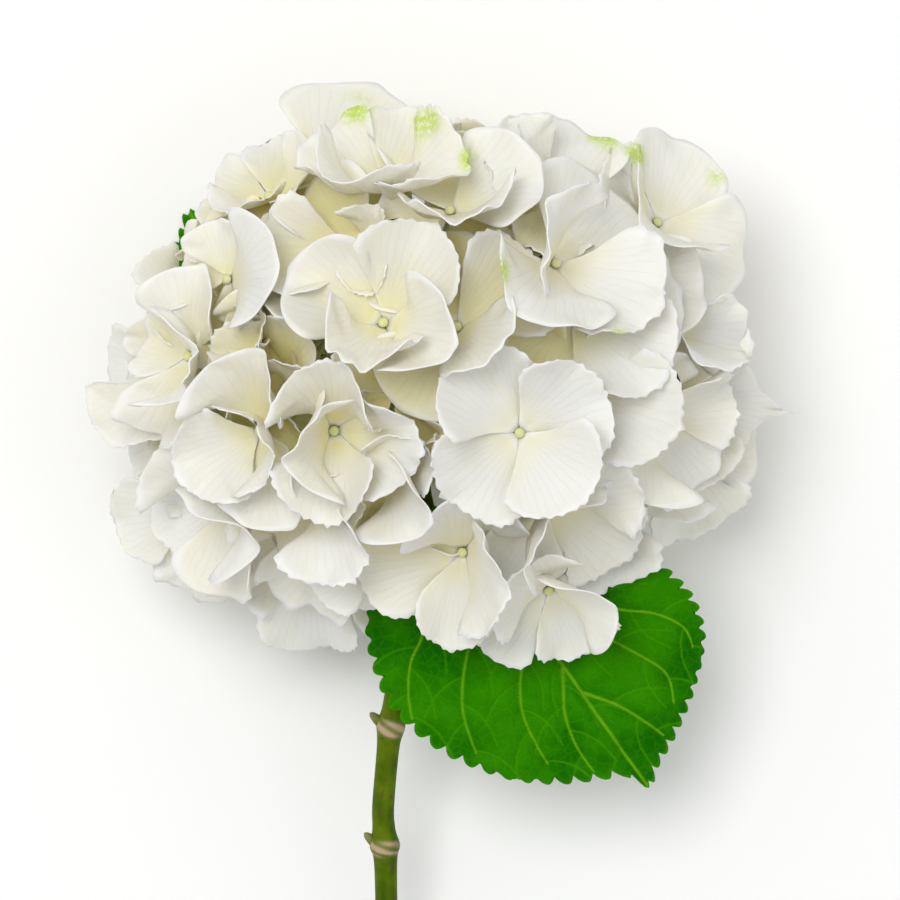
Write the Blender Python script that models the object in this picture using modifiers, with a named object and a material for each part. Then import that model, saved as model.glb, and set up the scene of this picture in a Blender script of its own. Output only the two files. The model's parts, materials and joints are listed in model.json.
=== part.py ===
"""Cut mophead hydrangea, laid down on a flat surface.

Frame: metres, +Z up, the surface at z = 0, the stem along -Y and the flower head towards +Y.
The origin is the middle of the footprint of the whole flower.

The head is a shell of four-sepal florets. Their eyes sit on a seat ellipsoid round the head
centre, each floret hangs on a thin pedicel from the nearest of the swollen ray tips, and the
rays stand on the crown of the stem. One pair of leaves grows from the node just under the crown.
Every floret opens as far as its neighbours leave room for, in the order of the table.
"""

import math
from typing import NamedTuple

import bmesh
import bpy
from mathutils import Matrix, Vector
from mathutils.bvhtree import BVHTree

MM = 0.001
FIT_GAP = 0.3 * MM

# Flower head
HEAD_CENTRE = Vector((-4.0, 2.0, 65.0)) * MM
SEAT_RADII = Vector((69.0, 58.0, 57.0)) * MM
FLOOR_CLEARANCE = 9.5 * MM

# Floret: sepal rows are (share of the length, share of the width)
HUB_SIDES = 12
HUB_RADIUS = 2.2 * MM
HUB_HEIGHT = 1.6 * MM
PEDICEL_RADIUS = 0.8 * MM
SEPAL_THICKNESS = 0.6 * MM
SEPAL_WIDTH_RATIO = 1.06
SEPAL_CURL = math.radians(-14.0)
SEPAL_CUP = 0.14
SEPAL_ROWS = ((0.40, 0.84), (0.78, 1.00), (1.00, 0.60))

# Opening rule
CLEARANCE = 0.35 * MM
LIFT_STEP = 6.0
LIFT_STEPS = 14
LIFT_LOWEST = -35.0
LIFT_HIGHEST = 88.0
SHRINK_STEPS = (1.0, 0.88, 0.76, 0.64, 0.52, 0.4, 0.3)
SIDE_STEPS = (0.0, 9.0, -9.0, 18.0, -18.0)
FLOOR_FLATTENING = 1.6 * MM
FLAT_ENOUGH = 0.8

# Rays: the directions of the swollen tips, as shares of the seat radii
RAY_REACH = 0.42
RAY_DIRECTIONS = (
    (0.00, 0.95, 0.20),
    (0.85, 0.20, 0.45),
    (-0.85, 0.20, 0.45),
    (0.05, -0.20, 0.98),
    (0.75, -0.10, -0.65),
    (-0.75, 0.15, -0.65),
)
RAY_RADIUS = 1.7 * MM
KNUCKLE_RADIUS = 5.2 * MM

# Stem
STEM_RADIUS = 3.25 * MM
CROWN_RADIUS = 6.5 * MM
CROWN = Vector((-4.0, -20.0, 66.0)) * MM
STEM_ROUTE = (
    ((-4.0, -20.0, 66.0), 1.00),
    ((-3.5, -34.0, 62.5), 1.10),
    ((-3.5, -42.0, 60.5), 1.45),
    ((-4.0, -50.0, 58.3), 1.05),
    ((-7.5, -75.0, 51.5), 0.95),
    ((-10.2, -95.0, 46.0), 0.96),
    ((-11.2, -101.5, 44.2), 1.20),
    ((-12.0, -108.0, 42.4), 0.98),
    ((-13.4, -124.0, 38.0), 0.96),
    ((-13.3, -131.0, 36.1), 1.00),
    ((-13.0, -136.0, 34.7), 1.26),
    ((-12.8, -142.0, 33.1), 1.00),
    ((-12.5, -165.0, 26.8), 0.97),
    ((-12.0, -200.0, 17.2), 0.98),
    ((-11.0, -251.0, 2.98), 1.00),
)
STEM_SIDES = 10
STEM_READINGS = 3
BUD_LENGTH = 4.2 * MM
BUD_RADIUS = 1.5 * MM

# Leaves: half widths of the blade along its length, as (share of length, left, right)
LEAF_THICKNESS = 0.7 * MM
PETIOLE_RADIUS = 1.6 * MM
FRONT_BLADE = (
    (0.00, 16.0, 5.0),
    (0.07, 34.0, 17.0),
    (0.20, 41.5, 30.0),
    (0.36, 44.0, 37.5),
    (0.52, 40.5, 41.0),
    (0.68, 32.5, 39.5),
    (0.82, 20.5, 28.5),
    (0.92, 5.0, 15.5),
    (1.00, 0.8, 0.8),
)
BACK_BLADE = (
    (0.00, 3.0, 3.0),
    (0.10, 17.0, 16.0),
    (0.25, 28.0, 29.0),
    (0.42, 34.0, 35.0),
    (0.60, 34.5, 34.0),
    (0.75, 29.0, 27.0),
    (0.88, 17.5, 16.0),
    (1.00, 0.8, 0.8),
)
BLADE_COLUMNS = (-1.0, -0.6, -0.2, 0.2, 0.6, 1.0)

GREEN_STEM = (0.16, 0.24, 0.035, 1.0)
GREEN_RAY = (0.45, 0.55, 0.20, 1.0)
GREEN_LEAF = (0.03, 0.20, 0.012, 1.0)
GREEN_LEAF_BACK = (0.05, 0.22, 0.03, 1.0)
CREAM = (0.88, 0.86, 0.74, 1.0)


class Floret(NamedTuple):
    """One floret: its place in the head, where it faces and how it prefers to open.

    x and y are millimetres from the middle of the head, in plan. depth is -1 below the middle
    of the head and +1 above it. rise moves it outwards, face turns it towards +Z, roll is the
    first sepal's direction in plan, size is a sepal's length in millimetres, and lifts are the
    four sepals' angles in degrees above the floret's own plane.
    """

    x: float
    y: float
    depth: float
    rise: float
    face: float
    roll: float
    size: float
    lifts: tuple


FLORETS = (
    # The open ones that stand proud of the rest
    Floret(25, -19, 1, 8, 0.4, 42, 23, (20, 2, 0, 40)),
    Floret(35, 21, 1, 5, 0.3, 55, 27, (0, 76, 80, 28)),
    Floret(-8, 41, 1, 3, 0.1, 60, 25, (4, 4, 50, 50)),
    Floret(-59, -1, 1, 2, 0.6, 70, 22, (18, -22, -8, 50)),
    Floret(-49, -37, 1, 2, 0.5, 100, 24, (30, 8, 24, 50)),
    Floret(-8, 7, 1, 1, 0.2, 60, 24, (14, 10, 58, 60)),
    Floret(11, 6, 1, 1, 0.2, 38, 26, (8, 60, 60, 44)),
    Floret(60, 31, 1, 10, 1.6, 65, 26, (0, 50, 60, 0)),
    Floret(62, -18, 1, 3, 0.4, 30, 22, (18, 14, 24, 20)),
    Floret(42, 9, 1, -1, 0.2, 35, 27, (14, 50, 50, 40)),
    Floret(9, 35, 1, 3, 0.2, 190, 24, (0, 60, 60, 40)),
    # Lower edge, over the leaf
    Floret(30, -50, 1, 16, 1.2, 212, 23, (0, 2, 66, 60)),
    Floret(12, -50, 1, 4, 1.2, 182, 26, (6, 8, 30, 60)),
    Floret(35, -40, 1, 2, 0.5, 325, 26, (8, 40, 40, 20)),
    Floret(-8, -52, 1, 3, 0.6, 262, 18, (4, 40, 60, 40)),
    # Left side
    Floret(-41, -21, 1, 0, 0.3, 100, 23, (24, 20, 50, 60)),
    Floret(-21, -21, 1, 0, 0.3, 85, 23, (34, 66, 40, 36)),
    Floret(-26, -37, 1, 0, 0.4, 222, 24, (14, 44, 60, 40)),
    Floret(-9, -33, 1, -3, 0.4, 70, 23, (40, 52, 50, 44)),
    Floret(-68, -6, 0.4, 1, 1.3, 178, 21, (-4, 50, 60, 80)),
    Floret(-48, 18, 1, 3, 0.9, 178, 25, (-6, 50, 50, 22)),
    Floret(-66, -22, 0.6, 2, 1.2, 196, 20, (-4, 40, 60, 50)),
    Floret(-60, -40, -0.2, 12, 1.3, 180, 24, (0, -2, 60, 50)),
    Floret(-22, -49, 0.8, -2, 0.3, 230, 24, (20, 40, 50, 50)),
    Floret(-40, 43, 1, -1, 0.6, 82, 18, (0, 0, 50, 50)),
    Floret(-14, 27, 1, -1, 0.2, 200, 24, (10, 50, 40, 60)),
    Floret(-46, 30, 1, -1, 0.6, 150, 15, (0, 40, 50, 40)),
    # Top and right side
    Floret(-23, 47, 1, 1, 1.6, 88, 27, (-6, 34, 60, 50)),
    Floret(36, 38, 1, 2, 0.9, 75, 24, (2, 40, 60, 50)),
    Floret(14, 46, 1, -2, 0.6, 20, 24, (10, 60, 50, 50)),
    Floret(54, 20, 1, -2, 0.2, 75, 24, (30, 50, 40, 30)),
    Floret(67, 6, 1, 4, 0.8, 80, 23, (8, 40, 50, 24)),
    Floret(66, -11, -0.3, 8, 3.0, -6, 26, (-2, 40, 60, 50)),
    Floret(65, -23, -0.9, 11, 1.8, 290, 24, (0, 20, 60, 60)),
    Floret(43, -10, 1, 0, 0.2, 60, 26, (2, 30, 60, 50)),
    Floret(52, -42, 1, 0, 0.8, 285, 23, (14, 12, 50, 50)),
    Floret(-5, -12, 1, -3, 0.2, 30, 25, (50, 56, 60, 44)),
    Floret(-29, -56, -0.9, 7, 2.2, 268, 27, (-2, 30, 60, 40)),
)

# Rings below the middle: (share of the half height, number, first direction, rise)
LOWER_RINGS = (
    (-0.30, 9, 12.0, -3.0),
    (-0.74, 6, 30.0, 0.0),
    (-1.00, 1, 0.0, 0.0),
)
LOWER_RING_SIZE = 22.0
LOWER_RING_LIFT = 14.0
STEM_DIRECTION = 270.0
STEM_WINDOW = 24.0


# ---------------------------------------------------------------- scene helpers
def clear_scene():
    """Removes the objects that the scene starts with."""
    for thing in list(bpy.data.objects):
        bpy.data.objects.remove(thing, do_unlink=True)


def new_collection(name):
    """Makes a collection and links it to the scene."""
    collection = bpy.data.collections.new(name)
    bpy.context.scene.collection.children.link(collection)
    return collection


def new_material(name, colour, roughness):
    """Makes a plain material for one kind of tissue."""
    material = bpy.data.materials.new(name)
    material.use_nodes = True
    shader = material.node_tree.nodes["Principled BSDF"]
    shader.inputs["Base Color"].default_value = colour
    shader.inputs["Roughness"].default_value = roughness
    shader.inputs["Metallic"].default_value = 0.0
    return material


def mesh_object(name, mesh, collection, material):
    """Wraps a mesh in a named object with its own material slot."""
    thing = bpy.data.objects.new(name, mesh)
    mesh.materials.clear()
    mesh.materials.append(material)
    collection.objects.link(thing)
    return thing


def baked_mesh(thing, name):
    """The evaluated mesh of an object, with its loose caps welded."""
    graph = bpy.context.evaluated_depsgraph_get()
    mesh = bpy.data.meshes.new_from_object(thing.evaluated_get(graph))
    mesh.transform(thing.matrix_world)
    mesh.name = name
    bm = bmesh.new()
    bm.from_mesh(mesh)
    bmesh.ops.remove_doubles(bm, verts=bm.verts, dist=0.01 * MM)
    bmesh.ops.recalc_face_normals(bm, faces=bm.faces)
    bmesh.ops.triangulate(bm, faces=bm.faces)
    bm.to_mesh(mesh)
    bm.free()
    return mesh


def smooth_route(points, readings):
    """Reads a smooth curve through the route's own (point, factor) pairs."""
    spots = [Vector(point) * MM for point, _ in points]
    factors = [factor for _, factor in points]
    route = []
    last = len(spots) - 1
    for index in range(last):
        before, after = max(index - 1, 0), min(index + 2, last)
        for step in range(readings):
            t = step / readings
            near, far = spots[index], spots[index + 1]
            into, out = (far - spots[before]) / 2, (spots[after] - near) / 2
            h1, h2 = 2 * t**3 - 3 * t**2 + 1, t**3 - 2 * t**2 + t
            h3, h4 = 3 * t**2 - 2 * t**3, t**3 - t**2
            place = near * h1 + into * h2 + far * h3 + out * h4
            route.append((place, factors[index] * (1 - t) + factors[index + 1] * t))
    route.append((spots[last], factors[last]))
    return route


def tube_object(name, route, radius, sides, collection):
    """A tube along (place, factor) readings, as a bevelled curve with filled caps."""
    curve = bpy.data.curves.new(name, "CURVE")
    curve.dimensions = "3D"
    curve.bevel_depth = radius
    curve.bevel_resolution = max(sides // 2 - 2, 0)
    curve.use_fill_caps = True
    spline = curve.splines.new("POLY")
    spline.points.add(len(route) - 1)
    for point, (place, factor) in zip(spline.points, route):
        point.co = (*place, 1.0)
        point.radius = factor
    thing = bpy.data.objects.new(name, curve)
    collection.objects.link(thing)
    bpy.context.view_layer.update()
    return thing


def ball_object(name, centre, radius, collection):
    """A coarse ball used as one solid of a union."""
    bm = bmesh.new()
    bmesh.ops.create_uvsphere(bm, u_segments=10, v_segments=7, radius=radius)
    bmesh.ops.translate(bm, verts=bm.verts, vec=centre)
    mesh = bpy.data.meshes.new(name)
    bm.to_mesh(mesh)
    bm.free()
    thing = bpy.data.objects.new(name, mesh)
    collection.objects.link(thing)
    return thing


def cone_object(name, start, end, radii, collection):
    """A short six-sided cone from start to end, used as one solid of a union."""
    bm = bmesh.new()
    line = end - start
    bmesh.ops.create_cone(bm, cap_ends=True, segments=6, radius1=radii[0], radius2=radii[1],
                          depth=line.length)
    turn = Vector((0, 0, 1)).rotation_difference(line.normalized()).to_matrix().to_4x4()
    bmesh.ops.transform(bm, matrix=Matrix.Translation((start + end) / 2) @ turn, verts=bm.verts)
    mesh = bpy.data.meshes.new(name)
    bm.to_mesh(mesh)
    bm.free()
    thing = bpy.data.objects.new(name, mesh)
    collection.objects.link(thing)
    return thing


def union_mesh(name, things, helpers):
    """Joins several closed solids into one mesh and removes the helpers they came from."""
    base = bpy.data.objects.new(name + "_base", baked_mesh(things[0], name))
    helpers.objects.link(base)
    others = []
    for index, thing in enumerate(things[1:]):
        solid = bpy.data.objects.new(f"{name}_solid_{index}", baked_mesh(thing, name))
        helpers.objects.link(solid)
        others.append(solid)
        union = base.modifiers.new(f"join_{index}", "BOOLEAN")
        union.operation = "UNION"
        union.solver = "EXACT"
        union.object = solid
    bpy.context.view_layer.update()
    mesh = baked_mesh(base, name)
    for thing in [base, *others, *things]:
        bpy.data.objects.remove(thing, do_unlink=True)
    return mesh


def tree_of(mesh, matrix):
    """A search tree over a mesh in world space, with its box."""
    spots = [matrix @ vertex.co for vertex in mesh.vertices]
    faces = [tuple(polygon.vertices) for polygon in mesh.polygons]
    return Obstacle(BVHTree.FromPolygons(spots, faces), *box_of(spots))


class Obstacle(NamedTuple):
    """A solid that a sepal has to stay clear of."""

    tree: BVHTree
    low: Vector
    high: Vector


def box_of(spots):
    """The lowest and highest corners of some points."""
    low = Vector([min(spot[axis] for spot in spots) for axis in range(3)])
    high = Vector([max(spot[axis] for spot in spots) for axis in range(3)])
    return low, high


def is_clear(candidate, obstacles):
    """Whether a candidate solid touches none of the obstacles."""
    for other in obstacles:
        apart = any(candidate.low[axis] > other.high[axis] or other.low[axis] > candidate.high[axis]
                    for axis in range(3))
        if not apart and candidate.tree.overlap(other.tree):
            return False
    return True


# ---------------------------------------------------------------- stem and rays
def make_stem(parts, helpers, material):
    """The stem with its crown, its swollen nodes and the buds on them."""
    route = smooth_route(STEM_ROUTE, STEM_READINGS)
    tube = tube_object("stem_tube", route, STEM_RADIUS, STEM_SIDES, helpers)
    crown = ball_object("stem_crown", CROWN, CROWN_RADIUS, helpers)
    upper, lower = Vector(STEM_ROUTE[6][0]) * MM, Vector(STEM_ROUTE[10][0]) * MM
    buds = []
    for name, node, side in (("bud_upper", upper, -1), ("bud_lower", lower, -1)):
        root = node + Vector((side * STEM_RADIUS * 0.7, 0, 0))
        tip = node + Vector((side * (STEM_RADIUS + BUD_LENGTH * 0.6), BUD_LENGTH * 0.8, 0))
        buds.append(cone_object(name, root, tip, (BUD_RADIUS, BUD_RADIUS * 0.25), helpers))
    mesh = union_mesh("stem", [tube, crown, *buds], helpers)
    return mesh_object("stem", mesh, parts, material)


def knuckle_places():
    """The centres of the swollen ray tips."""
    places = []
    for share in RAY_DIRECTIONS:
        reach = Vector([share[axis] * SEAT_RADII[axis] * RAY_REACH for axis in range(3)])
        places.append(HEAD_CENTRE + reach)
    return places


def make_rays(parts, helpers, material):
    """One branch from the crown to each swollen tip."""
    rays = []
    for index, knuckle in enumerate(knuckle_places(), start=1):
        name = f"ray_{index}"
        away = (knuckle - CROWN).normalized()
        start = CROWN + away * (CROWN_RADIUS + FIT_GAP)
        route = [(start.lerp(knuckle, share), 1.0) for share in (0.0, 0.5, 1.0)]
        tube = tube_object(name + "_tube", route, RAY_RADIUS, 8, helpers)
        ball = ball_object(name + "_tip", knuckle, KNUCKLE_RADIUS, helpers)
        mesh = union_mesh(name, [tube, ball], helpers)
        rays.append(mesh_object(name, mesh, parts, material))
    return rays


# ---------------------------------------------------------------- leaves
def blade_half_width(profile, share, side):
    """The blade's half width at a share of its length, read from its outline points."""
    column = 1 if side < 0 else 2
    for near, far in zip(profile, profile[1:]):
        if share <= far[0]:
            t = (share - near[0]) / (far[0] - near[0])
            return (near[column] * (1 - t) + far[column] * t) * MM
    return profile[-1][column] * MM


def blade_object(name, profile, place, helpers):
    """A leaf blade: a grid laid over the outline and bent by the given place function."""
    rows, columns = len(profile), len(BLADE_COLUMNS)
    bm = bmesh.new()
    bmesh.ops.create_grid(bm, x_segments=columns - 1, y_segments=rows - 1, size=1.0)
    for vertex in bm.verts:
        column = round((vertex.co.x + 1) / 2 * (columns - 1))
        row = round((vertex.co.y + 1) / 2 * (rows - 1))
        share, across = profile[row][0], BLADE_COLUMNS[column]
        vertex.co = place(share, across * blade_half_width(profile, share, across))
    mesh = bpy.data.meshes.new(name)
    bm.to_mesh(mesh)
    bm.free()
    thing = bpy.data.objects.new(name, mesh)
    helpers.objects.link(thing)
    wall = thing.modifiers.new("thickness", "SOLIDIFY")
    wall.thickness = LEAF_THICKNESS
    wall.offset = 0.0
    bpy.context.view_layer.update()
    return thing


def front_leaf_place(share, across):
    """The front blade: out to the right and down past the stem, arched along and across."""
    base, tip = Vector((6.0, -45.0)), Vector((60.5, -118.0))
    along = (tip - base).normalized()
    side = Vector((-along.y, along.x))
    flat = (base.lerp(tip, share)) * MM + side * across
    height = 68.0 + 6.0 * share - 20.0 * share**2 - 0.0022 * (across / MM) ** 2
    height += 1.6 * math.sin(share * 9.0 + across / (9.0 * MM))
    return Vector((flat.x, flat.y, height * MM))


def back_leaf_place(share, across):
    """The back blade: flat on the surface, under the head and out at the upper left."""
    base, tip = Vector((-19.0, -30.0)), Vector((-65.5, 41.5))
    along = (tip - base).normalized()
    side = Vector((-along.y, along.x))
    flat = base.lerp(tip, share) * MM + side * across
    lift = 5.5 * (1.0 - min(share / 0.3, 1.0)) ** 2
    return Vector((flat.x, flat.y, lift * MM + LEAF_THICKNESS / 2))


def make_leaf(name, profile, place, petiole, parts, helpers, material):
    """A leaf: its blade joined with the stalk that carries it."""
    blade = blade_object(name + "_blade", profile, place, helpers)
    route = smooth_route([(point, 1.0) for point in petiole], 2)
    stalk = tube_object(name + "_stalk", route, PETIOLE_RADIUS, 8, helpers)
    mesh = union_mesh(name, [blade, stalk], helpers)
    return mesh_object(name, mesh, parts, material)


# ---------------------------------------------------------------- florets
def seat_of(floret):
    """Where a floret's eye sits and the direction that it faces."""
    plan = Vector((floret.x * MM / SEAT_RADII.x, floret.y * MM / SEAT_RADII.y))
    reach = min(plan.length, 1.0)
    plan = plan.normalized() * min(reach, 0.985) if reach > 0 else plan
    high = math.sqrt(1.0 - plan.length_squared) * floret.depth
    unit = Vector((plan.x, plan.y, high))
    spot = HEAD_CENTRE + Vector([unit[axis] * SEAT_RADII[axis] for axis in range(3)])
    normal = Vector([unit[axis] / SEAT_RADII[axis] for axis in range(3)]).normalized()
    facing = (normal + Vector((0, 0, floret.face))).normalized()
    eye = spot + normal * floret.rise * MM
    eye.z = max(eye.z, FLOOR_CLEARANCE)
    return eye, facing


def lower_florets():
    """The florets of the rings below the middle, with a window left open for the stem."""
    rows = []
    for share, count, first, rise in LOWER_RINGS:
        spread = math.sqrt(1.0 - share**2)
        for index in range(count):
            angle = first + 360.0 * index / count
            off = (angle - STEM_DIRECTION + 180.0) % 360.0 - 180.0
            if abs(off) < STEM_WINDOW:
                continue
            turn = math.radians(angle)
            x = SEAT_RADII.x / MM * spread * math.cos(turn)
            y = SEAT_RADII.y / MM * spread * math.sin(turn)
            roll = angle + 45.0 * (index % 2)
            lifts = (LOWER_RING_LIFT,) * 4
            rows.append(Floret(x, y, -1, rise, 0.0, roll, LOWER_RING_SIZE, lifts))
    return rows


def floret_matrix(floret):
    """The floret's own frame in the world: its eye at the origin, facing along +Z."""
    eye, facing = seat_of(floret)
    turn = Vector((0, 0, 1)).rotation_difference(facing).to_matrix().to_4x4()
    roll = Matrix.Rotation(math.radians(floret.roll), 4, "Z")
    return Matrix.Translation(eye) @ turn @ roll


class Sepal(NamedTuple):
    """One sepal in its floret's frame: it is rooted at one direction and points in another."""

    root: float
    direction: float
    length: float
    lift: float


def sepal_ring(sepal, share, width_share, extra):
    """The six corners of one row of a sepal, keyed by (column, upper side)."""
    turn = math.radians(sepal.direction)
    outward = Vector((math.cos(turn), math.sin(turn), 0.0))
    sideways = Vector((-math.sin(turn), math.cos(turn), 0.0))
    up = Vector((0.0, 0.0, 1.0))
    start, bend = math.radians(sepal.lift), SEPAL_CURL
    steps = 8
    place = outward * HUB_RADIUS
    for index in range(steps):
        angle = start + bend * share * (index + 0.5) / steps
        stretch = sepal.length * share / steps
        place += (outward * math.cos(angle) + up * math.sin(angle)) * stretch
    angle = start + bend * share
    normal = up * math.cos(angle) - outward * math.sin(angle)
    half = sepal.length * SEPAL_WIDTH_RATIO / 2 * width_share
    ring = {}
    for column in (-1, 0, 1):
        centre = place + sideways * column * (half + extra) + normal * abs(column) * half * SEPAL_CUP
        for upper in (True, False):
            offset = (SEPAL_THICKNESS / 2 + extra) * (1 if upper else -1)
            ring[column, upper] = centre + normal * offset
    return ring


def root_ring(sepal):
    """The row of a sepal on the side of the hub."""
    ring = {}
    for column in (-1, 0, 1):
        spread = math.radians(sepal.root + column * 360.0 / HUB_SIDES)
        edge = Vector((math.cos(spread), math.sin(spread), 0.0)) * HUB_RADIUS
        for upper in (True, False):
            ring[column, upper] = edge + Vector((0, 0, HUB_HEIGHT / 2 * (1 if upper else -1)))
    return ring


def settle(spot, upper):
    """Flattens a corner that would reach below the surface on to it."""
    return Vector((spot.x, spot.y, max(spot.z, SEPAL_THICKNESS if upper else 0.0)))


def test_plate(sepal, matrix, rooted):
    """A slightly fattened sepal in world space, with or without the stretch next to its root."""
    rings = [root_ring(sepal)] if rooted else []
    rings += [sepal_ring(sepal, share, width, CLEARANCE) for share, width in SEPAL_ROWS]
    spots, faces = [], []
    order = ((-1, True), (0, True), (1, True), (1, False), (0, False), (-1, False))
    for row, ring in enumerate(rings):
        spots += [matrix @ ring[key] for key in order]
        if row:
            for index in range(6):
                after = (index + 1) % 6
                low, high = (row - 1) * 6, row * 6
                faces.append((low + index, low + after, high + after, high + index))
    tip = (len(rings) - 1) * 6
    faces += [(tip, tip + 1, tip + 4, tip + 5), (tip + 1, tip + 2, tip + 3, tip + 4)]
    return Obstacle(BVHTree.FromPolygons(spots, faces), *box_of(spots))


def plate_normal(sepal):
    """The middle normal of a sepal in its floret's frame."""
    turn, angle = math.radians(sepal.direction), math.radians(sepal.lift) + SEPAL_CURL / 2
    outward = Vector((math.cos(turn), math.sin(turn), 0.0))
    return Vector((0, 0, 1)) * math.cos(angle) - outward * math.sin(angle)


def lift_choices(preferred):
    """The preferred lift, then its neighbours on both sides in growing steps."""
    yield preferred
    for step in range(1, LIFT_STEPS + 1):
        for lift in (preferred + step * LIFT_STEP, preferred - step * LIFT_STEP):
            if LIFT_LOWEST <= lift <= LIFT_HIGHEST:
                yield lift


def stands_clear(sepal, matrix, others, siblings):
    """Whether a sepal touches no neighbour, no sibling and not the surface below."""
    plate = test_plate(sepal, matrix, True)
    lies_flat = abs((matrix.to_3x3() @ plate_normal(sepal)).z) > FLAT_ENOUGH
    allowed = FLOOR_FLATTENING if lies_flat else 0.0
    if plate.low.z < -allowed or not is_clear(plate, others):
        return False
    return is_clear(test_plate(sepal, matrix, False), siblings)


def open_sepal(root, size, preferred, matrix, others, siblings):
    """Finds the opening nearest to the preferred one that touches nothing."""
    for shrink in SHRINK_STEPS:
        for lift in lift_choices(preferred):
            for aside in SIDE_STEPS:
                sepal = Sepal(root, root + aside, size * MM * shrink, lift)
                if stands_clear(sepal, matrix, others, siblings):
                    return sepal
    return None


def hub_mesh(matrix, end):
    """The eye of a floret as a many-sided hub, drawn out below into its pedicel."""
    bm = bmesh.new()
    bmesh.ops.create_cone(bm, cap_ends=True, segments=HUB_SIDES, radius1=HUB_RADIUS,
                          radius2=HUB_RADIUS, depth=HUB_HEIGHT)
    under = min(bm.faces, key=lambda face: face.calc_center_median().z)
    drawn = bmesh.ops.extrude_face_region(bm, geom=[under])
    corners = [item for item in drawn["geom"] if isinstance(item, bmesh.types.BMVert)]
    if under.is_valid:
        bmesh.ops.delete(bm, geom=[under], context="FACES_ONLY")
    local_end = matrix.inverted() @ end
    axis = local_end.normalized()
    turn = Vector((0, 0, -1)).rotation_difference(axis)
    for vertex in corners:
        flat = Vector((vertex.co.x, vertex.co.y, 0.0)) * (PEDICEL_RADIUS / HUB_RADIUS)
        vertex.co = local_end + turn @ flat
    return bm


def hung_hub(matrix, knuckles, taken):
    """A hub whose pedicel reaches the nearest ray tip that it can get to past the others."""
    eye = matrix.translation
    for knuckle in sorted(knuckles, key=lambda place: (place - eye).length):
        end = knuckle + (eye - knuckle).normalized() * (KNUCKLE_RADIUS + FIT_GAP)
        bm = hub_mesh(matrix, end)
        mesh = bpy.data.meshes.new("core")
        bm.to_mesh(mesh)
        core = tree_of(mesh, matrix)
        bpy.data.meshes.remove(mesh)
        if is_clear(core, taken):
            break
    return bm, core


def grow_sepal(bm, sepal, matrix):
    """Extrudes one sepal out of the two hub faces on its side."""
    placed = {}
    for key, corner in root_ring(sepal).items():
        nearest = min(bm.verts, key=lambda vertex: (vertex.co - corner).length)
        placed[nearest] = key
    front = [face for face in bm.faces if all(vertex in placed for vertex in face.verts)]
    for share, width in SEPAL_ROWS:
        ring = sepal_ring(sepal, share, width, 0.0)
        keys = {tuple(vertex.co): key for vertex, key in placed.items()}
        old = front
        drawn = bmesh.ops.extrude_face_region(bm, geom=old)["geom"]
        front = [item for item in drawn if isinstance(item, bmesh.types.BMFace)]
        placed = {item: keys[tuple(item.co)] for item in drawn
                  if isinstance(item, bmesh.types.BMVert)}
        stale = [face for face in old if face.is_valid]
        if stale:
            bmesh.ops.delete(bm, geom=stale, context="FACES_ONLY")
        for vertex, key in placed.items():
            upper_side = key[1] == (matrix.col[2].z > 0)
            vertex.co = matrix.inverted() @ settle(matrix @ ring[key], upper_side)


def make_florets(parts, fixed, material):
    """Every floret: pedicels first, then the sepals, the proudest florets opening first."""
    rows = [*FLORETS, *lower_florets()]
    matrices = [floret_matrix(floret) for floret in rows]
    hubs, cores = [], []
    for matrix in matrices:
        bm, core = hung_hub(matrix, knuckle_places(), fixed + cores)
        hubs.append(bm)
        cores.append(core)
    opened = []
    for index, (floret, matrix, bm) in enumerate(zip(rows, matrices, hubs)):
        others = fixed + opened + cores[:index] + cores[index + 1:]
        siblings = []
        for quarter, preferred in enumerate(floret.lifts):
            sepal = open_sepal(90.0 * quarter, floret.size, preferred, matrix, others, siblings)
            if sepal is None:
                continue
            opened.append(test_plate(sepal, matrix, True))
            siblings.append(test_plate(sepal, matrix, False))
            grow_sepal(bm, sepal, matrix)
        mesh = bpy.data.meshes.new(f"floret_{index + 1:02d}")
        bmesh.ops.recalc_face_normals(bm, faces=bm.faces)
        bmesh.ops.triangulate(bm, faces=bm.faces)
        bm.to_mesh(mesh)
        bm.free()
        thing = mesh_object(f"floret_{index + 1:02d}", mesh, parts, material)
        thing.matrix_world = matrix


# ---------------------------------------------------------------- the whole flower
def centre_on_origin(parts):
    """Moves every part so that the footprint's middle is the origin and z = 0 is kept."""
    bpy.context.view_layer.update()
    spots = [thing.matrix_world @ vertex.co for thing in parts.objects for vertex in thing.data.vertices]
    low, high = box_of(spots)
    shift = Vector((-(low.x + high.x) / 2, -(low.y + high.y) / 2, -low.z))
    for thing in parts.objects:
        thing.location = thing.location + shift
    bpy.context.view_layer.update()


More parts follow.
